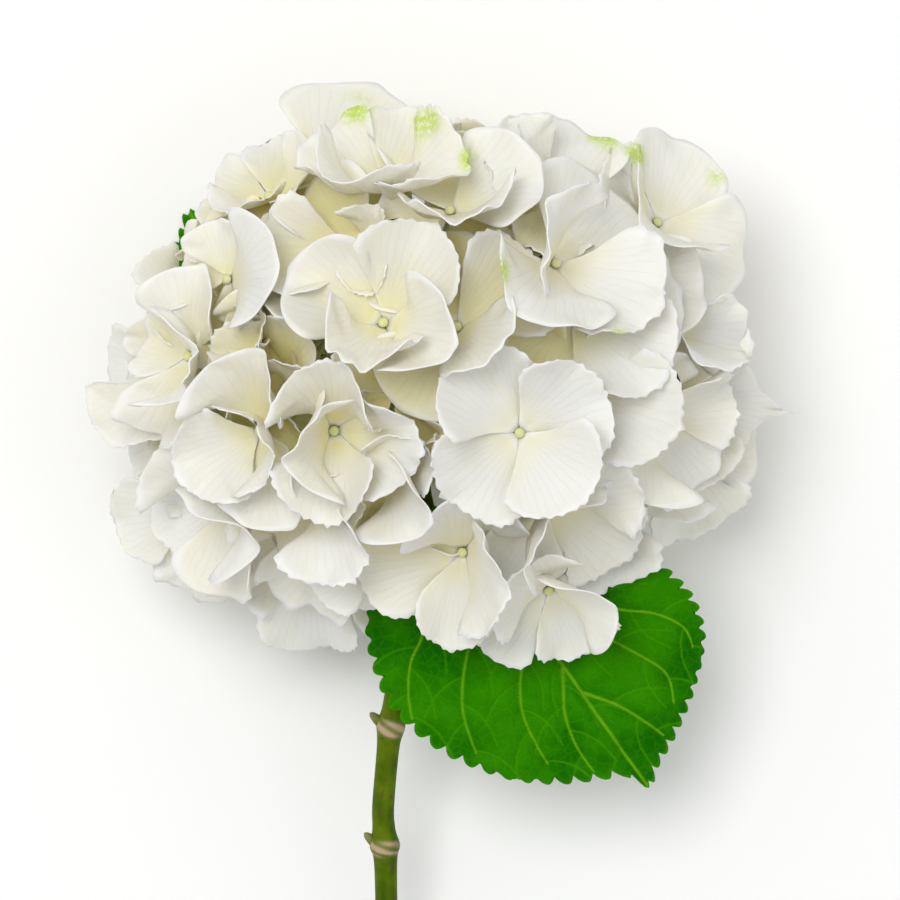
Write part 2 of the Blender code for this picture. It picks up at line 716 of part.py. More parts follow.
def main():
    """Builds the flower."""
    clear_scene()
    parts = new_collection("cut_hydrangea")
    helpers = new_collection("helpers")
    stem_green = new_material("stem_green", GREEN_STEM, 0.55)
    ray_green = new_material("ray_green", GREEN_RAY, 0.6)
    front_green = new_material("leaf_green", GREEN_LEAF, 0.42)
    back_green = new_material("leaf_underside_green", GREEN_LEAF_BACK, 0.5)
    cream = new_material("sepal_cream", CREAM, 0.6)

    stem = make_stem(parts, helpers, stem_green)
    rays = make_rays(parts, helpers, ray_green)
    front_petiole = ((0.6, -41.5, 63.9), (3.0, -43.0, 66.8), (8.0, -47.5, 68.3), (16.0, -58.0, 69.0))
    back_petiole = ((-6.2, -41.5, 56.3), (-10.5, -41.0, 44.0), (-14.5, -39.0, 24.0),
                    (-17.5, -34.0, 10.0), (-22.0, -26.0, 4.6))
    front = make_leaf("leaf_front", FRONT_BLADE, front_leaf_place, front_petiole, parts, helpers,
                      front_green)
    back = make_leaf("leaf_back", BACK_BLADE, back_leaf_place, back_petiole, parts, helpers,
                     back_green)
    fixed = [tree_of(thing.data, thing.matrix_world) for thing in [stem, *rays, front, back]]
    make_florets(parts, fixed, cream)
    for thing in parts.objects:
        thing.data.shade_smooth()
        thing.data.set_sharp_from_angle(angle=math.radians(40.0))
    bpy.data.collections.remove(helpers)
    centre_on_origin(parts)


main()
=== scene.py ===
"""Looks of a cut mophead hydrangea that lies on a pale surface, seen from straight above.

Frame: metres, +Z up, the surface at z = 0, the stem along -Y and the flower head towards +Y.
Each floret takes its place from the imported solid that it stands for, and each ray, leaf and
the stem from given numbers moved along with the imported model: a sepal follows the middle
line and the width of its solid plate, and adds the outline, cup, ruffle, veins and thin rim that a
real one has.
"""

import json
import logging
import math
import random
from dataclasses import dataclass
from enum import Enum
from typing import Callable, Iterable, Sequence

import bmesh
import bpy
from mathutils import Matrix, Vector
from mathutils.bvhtree import BVHTree
from mathutils.kdtree import KDTree

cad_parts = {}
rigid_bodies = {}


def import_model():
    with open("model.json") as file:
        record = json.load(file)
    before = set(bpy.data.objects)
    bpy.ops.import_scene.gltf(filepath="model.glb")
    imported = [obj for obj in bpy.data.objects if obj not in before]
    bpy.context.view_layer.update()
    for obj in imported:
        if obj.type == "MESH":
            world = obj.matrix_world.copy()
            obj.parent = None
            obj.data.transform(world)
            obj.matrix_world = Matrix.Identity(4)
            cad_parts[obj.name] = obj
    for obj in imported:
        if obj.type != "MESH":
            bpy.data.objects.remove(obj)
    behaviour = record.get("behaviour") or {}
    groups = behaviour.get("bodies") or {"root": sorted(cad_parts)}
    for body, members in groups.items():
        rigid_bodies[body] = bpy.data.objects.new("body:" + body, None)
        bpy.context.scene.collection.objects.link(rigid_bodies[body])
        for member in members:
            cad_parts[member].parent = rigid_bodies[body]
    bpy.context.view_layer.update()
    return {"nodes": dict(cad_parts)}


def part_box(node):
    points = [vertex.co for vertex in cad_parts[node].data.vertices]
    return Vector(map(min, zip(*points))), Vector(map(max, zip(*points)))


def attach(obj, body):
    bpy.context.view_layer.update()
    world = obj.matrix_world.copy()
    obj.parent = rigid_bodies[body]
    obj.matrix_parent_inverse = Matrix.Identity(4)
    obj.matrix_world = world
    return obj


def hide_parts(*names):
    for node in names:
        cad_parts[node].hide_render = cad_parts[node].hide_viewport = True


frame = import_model()

MM = 0.001
LOG = logging.getLogger("hydrangea")

Colour = tuple[float, float, float]


class Slot(Enum):
    """The material slots of the record."""

    STEM = "stem_green"
    RAY = "ray_green"
    LEAF = "leaf_green"
    SEPAL = "sepal_cream"


# ---- small sums
def smooth(low: float, high: float, value: float) -> float:
    """A soft step from 0 at low to 1 at high."""
    share = min(max((value - low) / (high - low), 0.0), 1.0)
    return share * share * (3.0 - 2.0 * share)


def turned_from(angle: float, other: float) -> float:
    """How far apart two directions are, in degrees."""
    return abs((angle - other + 180.0) % 360.0 - 180.0)


def standing(place: Vector, facing: Vector, roll: float) -> Matrix:
    """The frame of something at a place, turned to face a way and rolled by some degrees."""
    turn = Vector((0, 0, 1)).rotation_difference(facing).to_matrix().to_4x4()
    return Matrix.Translation(place) @ turn @ Matrix.Rotation(math.radians(roll), 4, "Z")


def squircle(x: float, y: float) -> tuple[float, float]:
    """A point of the unit square carried to the unit disc, without a pole."""
    return x * math.sqrt(1.0 - y * y / 2.0), y * math.sqrt(1.0 - x * x / 2.0)


class MiddleLine:
    """The one cubic curve through four points, each at its own station."""

    def __init__(self, points: Sequence[Vector], stations: Sequence[float]) -> None:
        """Works out the curve's divided differences."""
        table = [point.copy() for point in points]
        for order in range(1, len(points)):
            for index in range(len(points) - 1, order - 1, -1):
                span = stations[index] - stations[index - order]
                table[index] = (table[index] - table[index - 1]) / span
        self.table, self.stations = table, stations

    def at(self, station: float) -> Vector:
        """The point at a station."""
        place = self.table[-1]
        for factor, near in zip(self.table[-2::-1], self.stations[-2::-1]):
            place = factor + place * (station - near)
        return place


def spline(points: Sequence[Sequence[float]], readings: int) -> list[Vector]:
    """A smooth run of points through the given ones.

    Args:
        points: the points it passes through, in any number of dimensions.
        readings: how many points each stretch gets.

    Returns:
        The points of the run, both ends among them.
    """
    spots = [Vector(point) for point in points]
    run = []
    last = len(spots) - 1
    for index in range(last):
        before, after = spots[max(index - 1, 0)], spots[min(index + 2, last)]
        near, far = spots[index], spots[index + 1]
        into, out = (far - before) / 2, (after - near) / 2
        for step in range(readings):
            t = step / readings
            run.append(near * (2 * t**3 - 3 * t**2 + 1) + into * (t**3 - 2 * t**2 + t)
                       + far * (3 * t**2 - 2 * t**3) + out * (t**3 - t**2))
    run.append(spots[last])
    return run


class Net:
    """Runs of points in a plane, for finding how far a spot is from the nearest of them."""

    def __init__(self, runs: Sequence[Sequence[Vector]], spacing: float = 0.2) -> None:
        """Reads every run at an even spacing."""
        spots = []
        for number, run in enumerate(runs):
            for index, (near, far) in enumerate(zip(run, run[1:])):
                count = max(int((far - near).length / spacing), 1)
                spots += [(near.lerp(far, step / count), number,
                           (index + step / count) / (len(run) - 1)) for step in range(count)]
        self.tree = KDTree(len(spots))
        for index, (spot, _, _) in enumerate(spots):
            self.tree.insert((spot.x, spot.y, 0.0), index)
        self.tree.balance()
        self.spots = spots

    def nearest(self, along: float, across: float) -> tuple[float, int, float]:
        """The gap to the nearest run, its number and how far along it that is."""
        _, index, gap = self.tree.find((along, across, 0.0))
        return gap, self.spots[index][1], self.spots[index][2]


def thicken(bm: bmesh.types.BMesh, sheet: Sequence[bmesh.types.BMVert],
            thickness: float) -> None:
    """Gives an open sheet a wall by drawing it out along its own normals.

    Args:
        bm: the mesh.
        sheet: the sheet's corners.
        thickness: how thick the wall gets, half on each side.
    """
    faces = list({face for corner in sheet for face in corner.link_faces})
    bm.normal_update()
    normals = {tuple(corner.co): corner.normal.copy() for corner in sheet}
    drawn = bmesh.ops.extrude_face_region(bm, geom=faces, use_keep_orig=True)["geom"]
    for item in drawn:
        if isinstance(item, bmesh.types.BMVert):
            item.co = item.co + normals[tuple(item.co)] * thickness / 2
    for corner in sheet:
        corner.co = corner.co - normals[tuple(corner.co)] * thickness / 2
    bmesh.ops.recalc_face_normals(bm, faces=bm.faces)


# ---- node boards
class Board:
    """A node tree with short ways to place and join its nodes."""

    def __init__(self, tree: bpy.types.NodeTree) -> None:
        """Takes the tree to work on."""
        self.tree = tree

    def add(self, kind: str, settings: dict | None = None, **inputs: object) -> bpy.types.Node:
        """Places a node.

        Args:
            kind: the node's type, without its ShaderNode prefix.
            settings: properties of the node itself.
            inputs: a value or a socket for each named input, with _ for a space.

        Returns:
            The node.
        """
        node = self.tree.nodes.new("ShaderNode" + kind)
        for name, value in (settings or {}).items():
            setattr(node, name, value)
        for name, value in inputs.items():
            self.feed(node.inputs[name.replace("_", " ")], value)
        return node

    def feed(self, socket: bpy.types.NodeSocket, value: object) -> None:
        """Links a socket to an input, or sets the input's own value."""
        if isinstance(value, bpy.types.NodeSocket):
            self.tree.links.new(value, socket)
        else:
            socket.default_value = value

    def sum(self, operation: str, first: object, second: object = 0.0) -> bpy.types.NodeSocket:
        """One step of arithmetic on two values or sockets."""
        node = self.add("Math", {"operation": operation})
        self.feed(node.inputs[0], first)
        self.feed(node.inputs[1], second)
        return node.outputs[0]

    def times(self, first: object, second: object) -> bpy.types.NodeSocket:
        """The product of two values or sockets."""
        return self.sum("MULTIPLY", first, second)

    def plus(self, first: object, second: object) -> bpy.types.NodeSocket:
        """The sum of two values or sockets."""
        return self.sum("ADD", first, second)

    def minus(self, first: object, second: object) -> bpy.types.NodeSocket:
        """What is left of the first value when the second is taken away."""
        return self.sum("SUBTRACT", first, second)

    def rest(self, value: object) -> bpy.types.NodeSocket:
        """What a share lacks to be 1."""
        return self.sum("SUBTRACT", 1.0, value)

    def step(self, value: object, low: float, high: float) -> bpy.types.NodeSocket:
        """A soft step from 0 at low to 1 at high."""
        node = self.add("MapRange", {"interpolation_type": "SMOOTHSTEP"}, Value=value,
                        From_Min=low, From_Max=high)
        return node.outputs["Result"]

    def mix(self, share: object, first: object, second: object) -> bpy.types.NodeSocket:
        """A mix of two colours by a share."""
        node = self.add("Mix", {"data_type": "RGBA"})
        for index, value in ((0, share), (6, first), (7, second)):
            flat = isinstance(value, tuple) and len(value) == 3
            self.feed(node.inputs[index], (*value, 1.0) if flat else value)
        return node.outputs[2]

    def attribute(self, name: str) -> tuple[bpy.types.NodeSocket, ...]:
        """The four channels of a colour attribute."""
        node = self.add("Attribute", {"attribute_name": name})
        split = self.add("SeparateColor", Color=node.outputs["Color"])
        return (*split.outputs, node.outputs["Alpha"])

    def finish(self, colour: object, roughness: object, relief: object = None,
               strength: float = 0.35, depth: float = 0.25 * MM, **sockets: object) -> None:
        """Joins what was worked out to the shader.

        Args:
            colour: the base colour.
            roughness: the roughness.
            relief: the height of the fine relief, where there is one.
            strength: how strong the relief is.
            depth: how deep the relief is.
            sockets: values of other shader sockets, with _ for a space.
        """
        shader = self.tree.nodes["Principled BSDF"]
        self.feed(shader.inputs["Base Color"], colour)
        self.feed(shader.inputs["Roughness"], roughness)
        if relief is not None:
            bump = self.add("Bump", Height=relief, Strength=strength, Distance=depth)
            self.feed(shader.inputs["Normal"], bump.outputs["Normal"])
        for name, value in sockets.items():
            shader.inputs[name.replace("_", " ")].default_value = value


def blank_material(name: str) -> tuple[bpy.types.Material, Board]:
    """A new material and its board."""
    material = bpy.data.materials.new(name)
    material.use_nodes = True
    return material, Board(material.node_tree)


class Groups:
    """Shader node groups that several finishes share."""

    @staticmethod
    def grain() -> bpy.types.NodeTree:
        """Broad patches and fine cells of plant tissue, on object coordinates."""
        if "tissue_grain" in bpy.data.node_groups:
            return bpy.data.node_groups["tissue_grain"]
        tree = bpy.data.node_groups.new("tissue_grain", "ShaderNodeTree")
        for name in ("Patch Scale", "Cell Scale"):
            tree.interface.new_socket(name, in_out="INPUT", socket_type="NodeSocketFloat")
        for name in ("Patches", "Cells"):
            tree.interface.new_socket(name, in_out="OUTPUT", socket_type="NodeSocketFloat")
        board = Board(tree)
        entry, leave = tree.nodes.new("NodeGroupInput"), tree.nodes.new("NodeGroupOutput")
        place = board.add("TexCoord").outputs["Object"]
        patches = board.add("TexNoise", Vector=place, Scale=entry.outputs["Patch Scale"],
                            Detail=3.0, Roughness=0.55)
        cells = board.add("TexNoise", Vector=place, Scale=entry.outputs["Cell Scale"],
                          Detail=2.0, Roughness=0.6)
        board.feed(leave.inputs["Patches"], board.step(patches.outputs["Fac"], 0.32, 0.68))
        board.feed(leave.inputs["Cells"], cells.outputs["Fac"])
        return tree

    @staticmethod
    def place(board: Board, patch_scale: float, cell_scale: float) -> tuple[
            bpy.types.NodeSocket, bpy.types.NodeSocket]:
        """Puts the grain group on a board.

        Args:
            board: the material's board.
            patch_scale: how small the patches are.
            cell_scale: how small the cells are.

        Returns:
            The patches and the cells.
        """
        node = board.add("Group", {"node_tree": Groups.grain()},
                         Patch_Scale=patch_scale, Cell_Scale=cell_scale)
        return node.outputs["Patches"], node.outputs["Cells"]


# ---- finishes
@dataclass(frozen=True)
class SepalFinish:
    """Thin cream tissue: ivory at the root, with painted shade as a warmer cream deep in the head
    and a painted highlight at the rim.
    """

    body: Colour = (0.850, 0.842, 0.805)
    # Ivory tone of the sepal root and of random patches, and painted shade deep in the head
    ivory_and_shade: Colour = (0.845, 0.755, 0.340)
    # Painted highlight: the brighter tone of the thin rim, where light glows through the margin
    rim: Colour = (0.910, 0.908, 0.885)
    lime: Colour = (0.480, 0.660, 0.110)
    vein: Colour = (0.800, 0.790, 0.640)
    roughness: float = 0.55
    glow: float = 0.38

    def material(self) -> bpy.types.Material:
        """Makes the material."""
        material, board = blank_material("sepal_cream")
        along, across, rim, tint = board.attribute("tissue")
        # This layer holds the lime blotches and the painted shade, a warmer cream deep in the head
        blotch, inner, _, _ = board.attribute("lime_and_shade")
        patches, cells = Groups.place(board, 90.0, 900.0)

        side = board.minus(board.times(across, 2.0), 1.0)
        fan = board.sum("DIVIDE", side, board.plus(board.times(along, 0.8), 0.22))
        wander = board.times(patches, 0.9)
        wave = board.sum("SINE", board.plus(board.times(fan, 15.0), wander))
        line = board.rest(board.step(board.sum("ABSOLUTE", wave), 0.0, 0.30))
        veins = board.times(line, board.step(along, 0.05, 0.35))
        veins = board.times(veins, board.rest(board.step(rim, 0.6, 1.0)))

        # Ivory tissue towards the root; on top of it, painted shade makes the cream warmer deep in
        # the head and in the filler florets
        root = board.rest(board.step(along, 0.02, 0.50))
        warmth = board.times(root, board.plus(board.times(inner, 0.6), 0.35))
        warmth = board.sum("MAXIMUM", warmth, board.times(inner, 0.95))
        warmth = board.plus(warmth, board.times(tint, 0.16))
        colour = board.mix(warmth, self.body, self.ivory_and_shade)
        # Painted highlight: a brighter band at the thin rim stands in for light glowing through
        # the margin
        edge = board.times(board.step(rim, 0.80, 1.0), 0.7)
        colour = board.mix(edge, colour, self.rim)
        colour = board.mix(board.times(veins, 0.30), colour, self.vein)
        colour = board.mix(board.times(patches, 0.08), colour, self.ivory_and_shade)
        spots = board.times(blotch, board.step(cells, 0.22, 0.55))
        colour = board.mix(spots, colour, self.lime)
        gloss = board.plus(board.times(cells, 0.16), self.roughness - 0.08)
        relief = board.minus(board.times(cells, 0.35), veins)
        board.finish(colour, gloss, relief, Subsurface_Weight=self.glow,
                     Subsurface_Radius=(1.0, 0.85, 0.5), Subsurface_Scale=2.0 * MM,
                     Specular_IOR_Level=0.18)
        return material


@dataclass(frozen=True)
class LeafFinish:
    """A leathery leaf: sunken pale veins, a fine net between them and a soft gloss."""

    name: str = "leaf_green"
    deep: Colour = (0.004, 0.120, 0.0002)
    fresh: Colour = (0.030, 0.235, 0.0004)
    vein: Colour = (0.150, 0.400, 0.008)
    twig: Colour = (0.060, 0.300, 0.001)
    roughness: float = 0.42
    net: float = 0.16

    def material(self) -> bpy.types.Material:
        """Makes the material."""
        material, board = blank_material(self.name)
        main, fine, rim, _ = board.attribute("blade")
        patches, cells = Groups.place(board, 38.0, 700.0)
        place = board.add("TexCoord").outputs["Object"]
        net = board.add("TexVoronoi", {"feature": "DISTANCE_TO_EDGE"}, Vector=place, Scale=330.0)
        mesh = board.rest(board.step(net.outputs["Distance"], 0.0, 0.16))
        small = board.add("TexVoronoi", {"feature": "DISTANCE_TO_EDGE"}, Vector=place, Scale=800.0)
        hair = board.rest(board.step(small.outputs["Distance"], 0.0, 0.14))

        colour = board.mix(patches, self.deep, self.fresh)
        colour = board.mix(board.times(mesh, self.net), colour, self.twig)
        colour = board.mix(board.times(hair, self.net * 0.4), colour, self.twig)
        colour = board.mix(board.times(fine, 0.55), colour, self.twig)
        colour = board.mix(board.times(main, 0.85), colour, self.vein)
        colour = board.mix(board.times(board.step(rim, 0.965, 1.0), 0.5), colour, self.twig)
        rough = board.plus(board.times(patches, 0.10), self.roughness)
        relief = board.plus(board.times(mesh, -0.8), board.times(hair, -0.3))
        relief = board.plus(relief, board.times(cells, 0.2))
        relief = board.minus(relief, board.times(fine, 0.8))
        board.finish(colour, board.plus(rough, board.times(cells, 0.06)), relief,
                     strength=0.5, depth=0.3 * MM, Specular_IOR_Level=0.01)
        return material


@dataclass(frozen=True)
class RindFinish:
    """Green bark-less rind with long faint ribs, corky dots and beige scars at the nodes."""

    name: str = "stem_green"
    green: Colour = (0.040, 0.090, 0.0006)
    yellow: Colour = (0.120, 0.175, 0.0030)
    cork: Colour = (0.110, 0.055, 0.020)
    scar: Colour = (0.520, 0.380, 0.250)
    roughness: float = 0.48
    ribs: float = 0.35

    def material(self) -> bpy.types.Material:
        """Makes the material."""
        material, board = blank_material(self.name)
        scar, dots, ribs, cut = board.attribute("rind")
        patches, cells = Groups.place(board, 120.0, 1400.0)
        colour = board.mix(patches, self.green, self.yellow)
        colour = board.mix(board.times(ribs, self.ribs), colour, self.yellow)
        colour = board.mix(dots, colour, self.cork)
        colour = board.mix(board.times(scar, board.plus(0.55, patches)), colour, self.scar)
        colour = board.mix(board.times(cells, 0.20), colour, self.green)
        rough = board.plus(board.times(cells, 0.2), self.roughness - 0.1)
        board.finish(colour, board.plus(rough, board.times(cut, 0.2)),
                     board.plus(cells, board.times(dots, 1.2)), Specular_IOR_Level=0.06)
        return material


@dataclass(frozen=True)
class FloorFinish:
    """A plain pale matt surface."""

    tone: Colour = (0.96, 0.96, 0.96)

    def material(self) -> bpy.types.Material:
        """Makes the material."""
        material, board = blank_material("pale_floor")
        patches, cells = Groups.place(board, 3.0, 400.0)
        shade = board.mix(board.times(patches, 0.04), self.tone, (0.93, 0.93, 0.93))
        board.finish(shade, board.plus(board.times(cells, 0.1), 0.65))
        return material


# ---- pieces
def add_object(name: str, data: bpy.types.ID) -> bpy.types.Object:
    """Puts a new object into the scene."""
    made = bpy.data.objects.new(name, data)
    bpy.context.scene.collection.objects.link(made)
    return made


def piece_object(name: str, bm: bmesh.types.BMesh,
                 materials: Iterable[bpy.types.Material],
                 stands_for: Sequence[str] = ()) -> bpy.types.Object:
    """Turns a bmesh into a finished piece on the root body.

    Args:
        name: the piece's name.
        bm: its mesh, which is freed.
        materials: its materials, in order.
        stands_for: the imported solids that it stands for.

    Returns:
        The piece.
    """
    mesh = bpy.data.meshes.new(name)
    bmesh.ops.recalc_face_normals(bm, faces=bm.faces)
    if bm.calc_volume(signed=True) < 0.0:
        bmesh.ops.reverse_faces(bm, faces=bm.faces)
    bm.to_mesh(mesh)
    bm.free()
    for material in materials:
        mesh.materials.append(material)
    mesh.shade_smooth()
    piece = add_object(name, mesh)
    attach(piece, "root")
    if stands_for:
        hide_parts(*stands_for)
    return piece


def sweep(bm: bmesh.types.BMesh, run: Sequence[Vector], radii: Sequence[float], sides: int,
          shape: Callable[[int, float], float] | None = None) -> list[list[bmesh.types.BMVert]]:
    """Draws a closed tube along a run of points by extruding one ring after another.

    Args:
        bm: the mesh to add to.
        run: the middle of each ring.
        radii: the radius of each ring.
        sides: how many corners a ring has.
        shape: a factor on the radius for a ring's number and an angle.

    Returns:
        The corners of each ring.
    """
    ring = bmesh.ops.create_circle(bm, cap_ends=False, segments=sides, radius=1.0)["verts"]
    edges = list({edge for corner in ring for edge in corner.link_edges})
    flat = [corner.co.copy() for corner in ring]
    last = len(run) - 1
    tangent = (run[1] - run[0]).normalized()
    turn = Vector((0.0, 0.0, 1.0)).rotation_difference(tangent).to_matrix()
    rings, current = [ring], ring
    for index in range(last + 1):
        if index:
            drawn = bmesh.ops.extrude_edge_only(bm, edges=edges)["geom"]
            fresh = [item for item in drawn if isinstance(item, bmesh.types.BMVert)]
            order = []
            for corner in current:
                order.append(min(fresh, key=lambda item: (item.co - corner.co).length_squared))
            current = order
            edges = [item for item in drawn if isinstance(item, bmesh.types.BMEdge)]
            rings.append(current)
            ahead = (run[min(index + 1, last)] - run[index - 1]).normalized()
            turn = tangent.rotation_difference(ahead).to_matrix() @ turn
            tangent = ahead
        for corner, unit in zip(current, flat):
            factor = shape(index, math.atan2(unit.y, unit.x)) if shape else 1.0
            corner.co = run[index] + turn @ (unit * radii[index] * factor)
    for end in (rings[0], rings[-1]):
        bmesh.ops.contextual_create(bm, geom=end)
    corners = {corner for ring in rings for corner in ring}
    walls = {face for corner in corners for face in corner.link_faces}
    bmesh.ops.recalc_face_normals(bm, faces=list(walls))
    return rings


# ---- the flower head's plan
@dataclass(frozen=True)
class Seat:
    """Where a floret sits: plan place in mm, side of the middle, rise, upward turn and roll."""

    x: float
    y: float
    depth: float
    rise: float
    face: float
    roll: float


HEAD_CENTRE = Vector((-4.0, 2.0, 65.0)) * MM
SEAT_RADII = Vector((69.0, 58.0, 57.0)) * MM
FLOOR_CLEARANCE = 9.5 * MM
HUB_RADIUS = 2.2 * MM
CORE_REACH = 2.5 * MM
CROWN = Vector((-4.0, -20.0, 66.0)) * MM
CROWN_RADIUS = 6.5 * MM
KNUCKLE_RADIUS = 5.2 * MM
RAY_REACH = 0.42
RAY_DIRECTIONS = (
    (0.00, 0.95, 0.20),
    (0.85, 0.20, 0.45),
    (-0.85, 0.20, 0.45),
    (0.05, -0.20, 0.98),
    (0.75, -0.10, -0.65),
    (-0.75, 0.15, -0.65),
)

SEATS = (
    # The open ones that stand proud of the rest
    Seat(25, -19, 1, 8, 0.4, 42),
    Seat(35, 21, 1, 5, 0.3, 55),
    Seat(-8, 41, 1, 3, 0.1, 60),
    Seat(-59, -1, 1, 2, 0.6, 70),
    Seat(-49, -37, 1, 2, 0.5, 100),
    Seat(-8, 7, 1, 1, 0.2, 60),
    Seat(11, 6, 1, 1, 0.2, 38),
    Seat(60, 31, 1, 10, 1.6, 65),
    Seat(62, -18, 1, 3, 0.4, 30),
    Seat(42, 9, 1, -1, 0.2, 35),
    Seat(9, 35, 1, 3, 0.2, 190),
    # Lower edge, over the leaf
    Seat(30, -50, 1, 16, 1.2, 212),
    Seat(12, -50, 1, 4, 1.2, 182),
    Seat(35, -40, 1, 2, 0.5, 325),
    Seat(-8, -52, 1, 3, 0.6, 262),
    # Left side
    Seat(-41, -21, 1, 0, 0.3, 100),
    Seat(-21, -21, 1, 0, 0.3, 85),
    Seat(-26, -37, 1, 0, 0.4, 222),
    Seat(-9, -33, 1, -3, 0.4, 70),
    Seat(-68, -6, 0.4, 1, 1.3, 178),
    Seat(-48, 18, 1, 3, 0.9, 178),
    Seat(-66, -22, 0.6, 2, 1.2, 196),
    Seat(-60, -40, -0.2, 12, 1.3, 180),
    Seat(-22, -49, 0.8, -2, 0.3, 230),
    Seat(-40, 43, 1, -1, 0.6, 82),
    Seat(-14, 27, 1, -1, 0.2, 200),
    Seat(-46, 30, 1, -1, 0.6, 150),
    # Top and right side
    Seat(-23, 47, 1, 1, 1.6, 88),
    Seat(36, 38, 1, 2, 0.9, 75),
    Seat(14, 46, 1, -2, 0.6, 20),
    Seat(54, 20, 1, -2, 0.2, 75),
    Seat(67, 6, 1, 4, 0.8, 80),
    Seat(66, -11, -0.3, 8, 3.0, -6),
    Seat(65, -23, -0.9, 11, 1.8, 290),
    Seat(43, -10, 1, 0, 0.2, 60),
    Seat(52, -42, 1, 0, 0.8, 285),
    Seat(-5, -12, 1, -3, 0.2, 30),
    Seat(-29, -56, -0.9, 7, 2.2, 268),
)
LOWER_RINGS = ((-0.30, 9, 12.0, -3.0), (-0.74, 6, 30.0, 0.0), (-1.00, 1, 0.0, 0.0))
STEM_DIRECTION = 270.0
STEM_WINDOW = 24.0


def by_radii(share: Sequence[float], factor: float = 1.0) -> Vector:
    """A point given in shares of the head's radii, in metres."""
    return Vector([share[axis] * SEAT_RADII[axis] * factor for axis in range(3)])


def over_radii(away: Sequence[float]) -> Vector:
    """An offset from the head's middle, in shares of its radii."""
    return Vector([away[axis] / SEAT_RADII[axis] for axis in range(3)])


@dataclass
class HeadPlan:
    """The flower head's layout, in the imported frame."""

    shift: Vector

    @classmethod
    def from_frame(cls) -> "HeadPlan":
        """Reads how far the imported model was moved, from the first ray's swollen tip."""
        knuckle = cls.knuckles_unmoved()[0]
        bm = bmesh.new()
        bmesh.ops.create_uvsphere(bm, u_segments=10, v_segments=7, radius=KNUCKLE_RADIUS)
        reach = Vector([max(corner.co[axis] for corner in bm.verts) for axis in range(3)])
        bm.free()
        low, high = (Vector(corner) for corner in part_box("ray_1"))
        return cls(Vector(((low.x + high.x) / 2 - knuckle.x, high.y - knuckle.y - reach.y,
                           high.z - knuckle.z - reach.z)))

    @staticmethod
    def knuckles_unmoved() -> list[Vector]:
        """The middles of the swollen ray tips, before the model was centred."""
        return [HEAD_CENTRE + by_radii(share, RAY_REACH) for share in RAY_DIRECTIONS]

    def knuckles(self) -> list[Vector]:
        """The middles of the swollen ray tips."""
        return [place + self.shift for place in self.knuckles_unmoved()]

    def seats(self) -> list[Seat]:
        """Every floret's seat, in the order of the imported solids."""
        rows = list(SEATS)
        for share, count, first, rise in LOWER_RINGS:
            spread = math.sqrt(1.0 - share**2)
            for index in range(count):
                angle = first + 360.0 * index / count
                if turned_from(angle, STEM_DIRECTION) < STEM_WINDOW:
                    continue
                turn = math.radians(angle)
                rows.append(Seat(SEAT_RADII.x / MM * spread * math.cos(turn),
                                 SEAT_RADII.y / MM * spread * math.sin(turn), -1, rise, 0,
                                 angle + 45.0 * (index % 2)))
        return rows

    def matrix(self, seat: Seat) -> Matrix:
        """A floret's own frame: its eye at the origin, facing along +Z."""
        plan = Vector((seat.x * MM / SEAT_RADII.x, seat.y * MM / SEAT_RADII.y))
        reach = min(plan.length, 1.0)
        plan = plan.normalized() * min(reach, 0.985) if reach > 0 else plan
        unit = Vector((plan.x, plan.y, math.sqrt(1.0 - plan.length_squared) * seat.depth))
        spot = HEAD_CENTRE + by_radii(unit)
        normal = over_radii(unit).normalized()
        facing = (normal + Vector((0.0, 0.0, seat.face))).normalized()
        eye = spot + normal * seat.rise * MM
        eye.z = max(eye.z, FLOOR_CLEARANCE)
        return standing(eye + self.shift, facing, seat.roll)

    def depth(self, spot: Vector) -> float:
        """How deep a point lies inside the head: 0 at the florets' eyes, 1 at the middle."""
        return 1.0 - over_radii(spot - HEAD_CENTRE - self.shift).length


# Lime-green marks on sepal margins: plan place from the middle of the head, and reach, in mm
LIME_MARKS = (
    (51.0, 58.0, 6.0), (60.0, 54.0, 4.5), (80.0, 51.0, 7.5), (3.0, 60.0, 6.0),
    (-16.0, 66.0, 7.0), (22.0, 20.0, 5.0), (53.0, 1.0, 6.0), (15.0, 50.0, 5.0),
)

# Florets whose sepals are narrower, and more cupped and ruffled than the rest
CRIMPED = (3, 4, 5, 6, 9, 16, 17, 18, 19, 24, 26, 37)

# Sepals cut to a size of their own: floret, place in it, broadening and overhang
TRIMS = (
    (3, 0, 0.90, 0.94), (3, 1, 0.95, 0.86), (21, 0, 0.72, 0.56), (4, 1, 0.85, 0.80),
    (43, 2, 0.85, 0.65), (20, 0, 0.80, 0.74), (20, 1, 1.32, 1.10), (23, 2, 0.95, 0.94),
    (38, 1, 0.75, 0.72), (38, 2, 0.95, 1.02), (8, 0, 1.05, 1.02), (32, 3, 0.92, 0.90),
    (33, 2, 0.95, 0.90), (34, 0, 0.95, 0.90), (13, 2, 0.76, 0.98), (12, 2, 0.92, 0.90),
)

# Sepals with a shape of their own, by floret and place in it
STYLES: dict[tuple[int, int], dict[str, float]] = {
    (floret, place): {"broadening": broadening, "overhang": overhang}
    for floret, place, broadening, overhang in TRIMS
} | {
    (1, 0): {"cup": 0.50, "curl": 3.5 * MM, "broadening": 1.24},
    (1, 1): {"cup": 0.62, "curl": 3.0 * MM, "lean": 0.22},
    (1, 2): {"cup": 0.42, "curl": 2.0 * MM, "broadening": 1.16},
    (1, 3): {"cup": 0.66, "curl": 4.5 * MM, "lean": 0.22},
    (28, 1): {"broadening": 1.38, "overhang": 1.10, "cup": 0.05, "ruffle": 0.9 * MM},
    (33, 3): {"broadening": 0.85, "overhang": 1.10, "taper": 0.80, "point": 0.16},
}


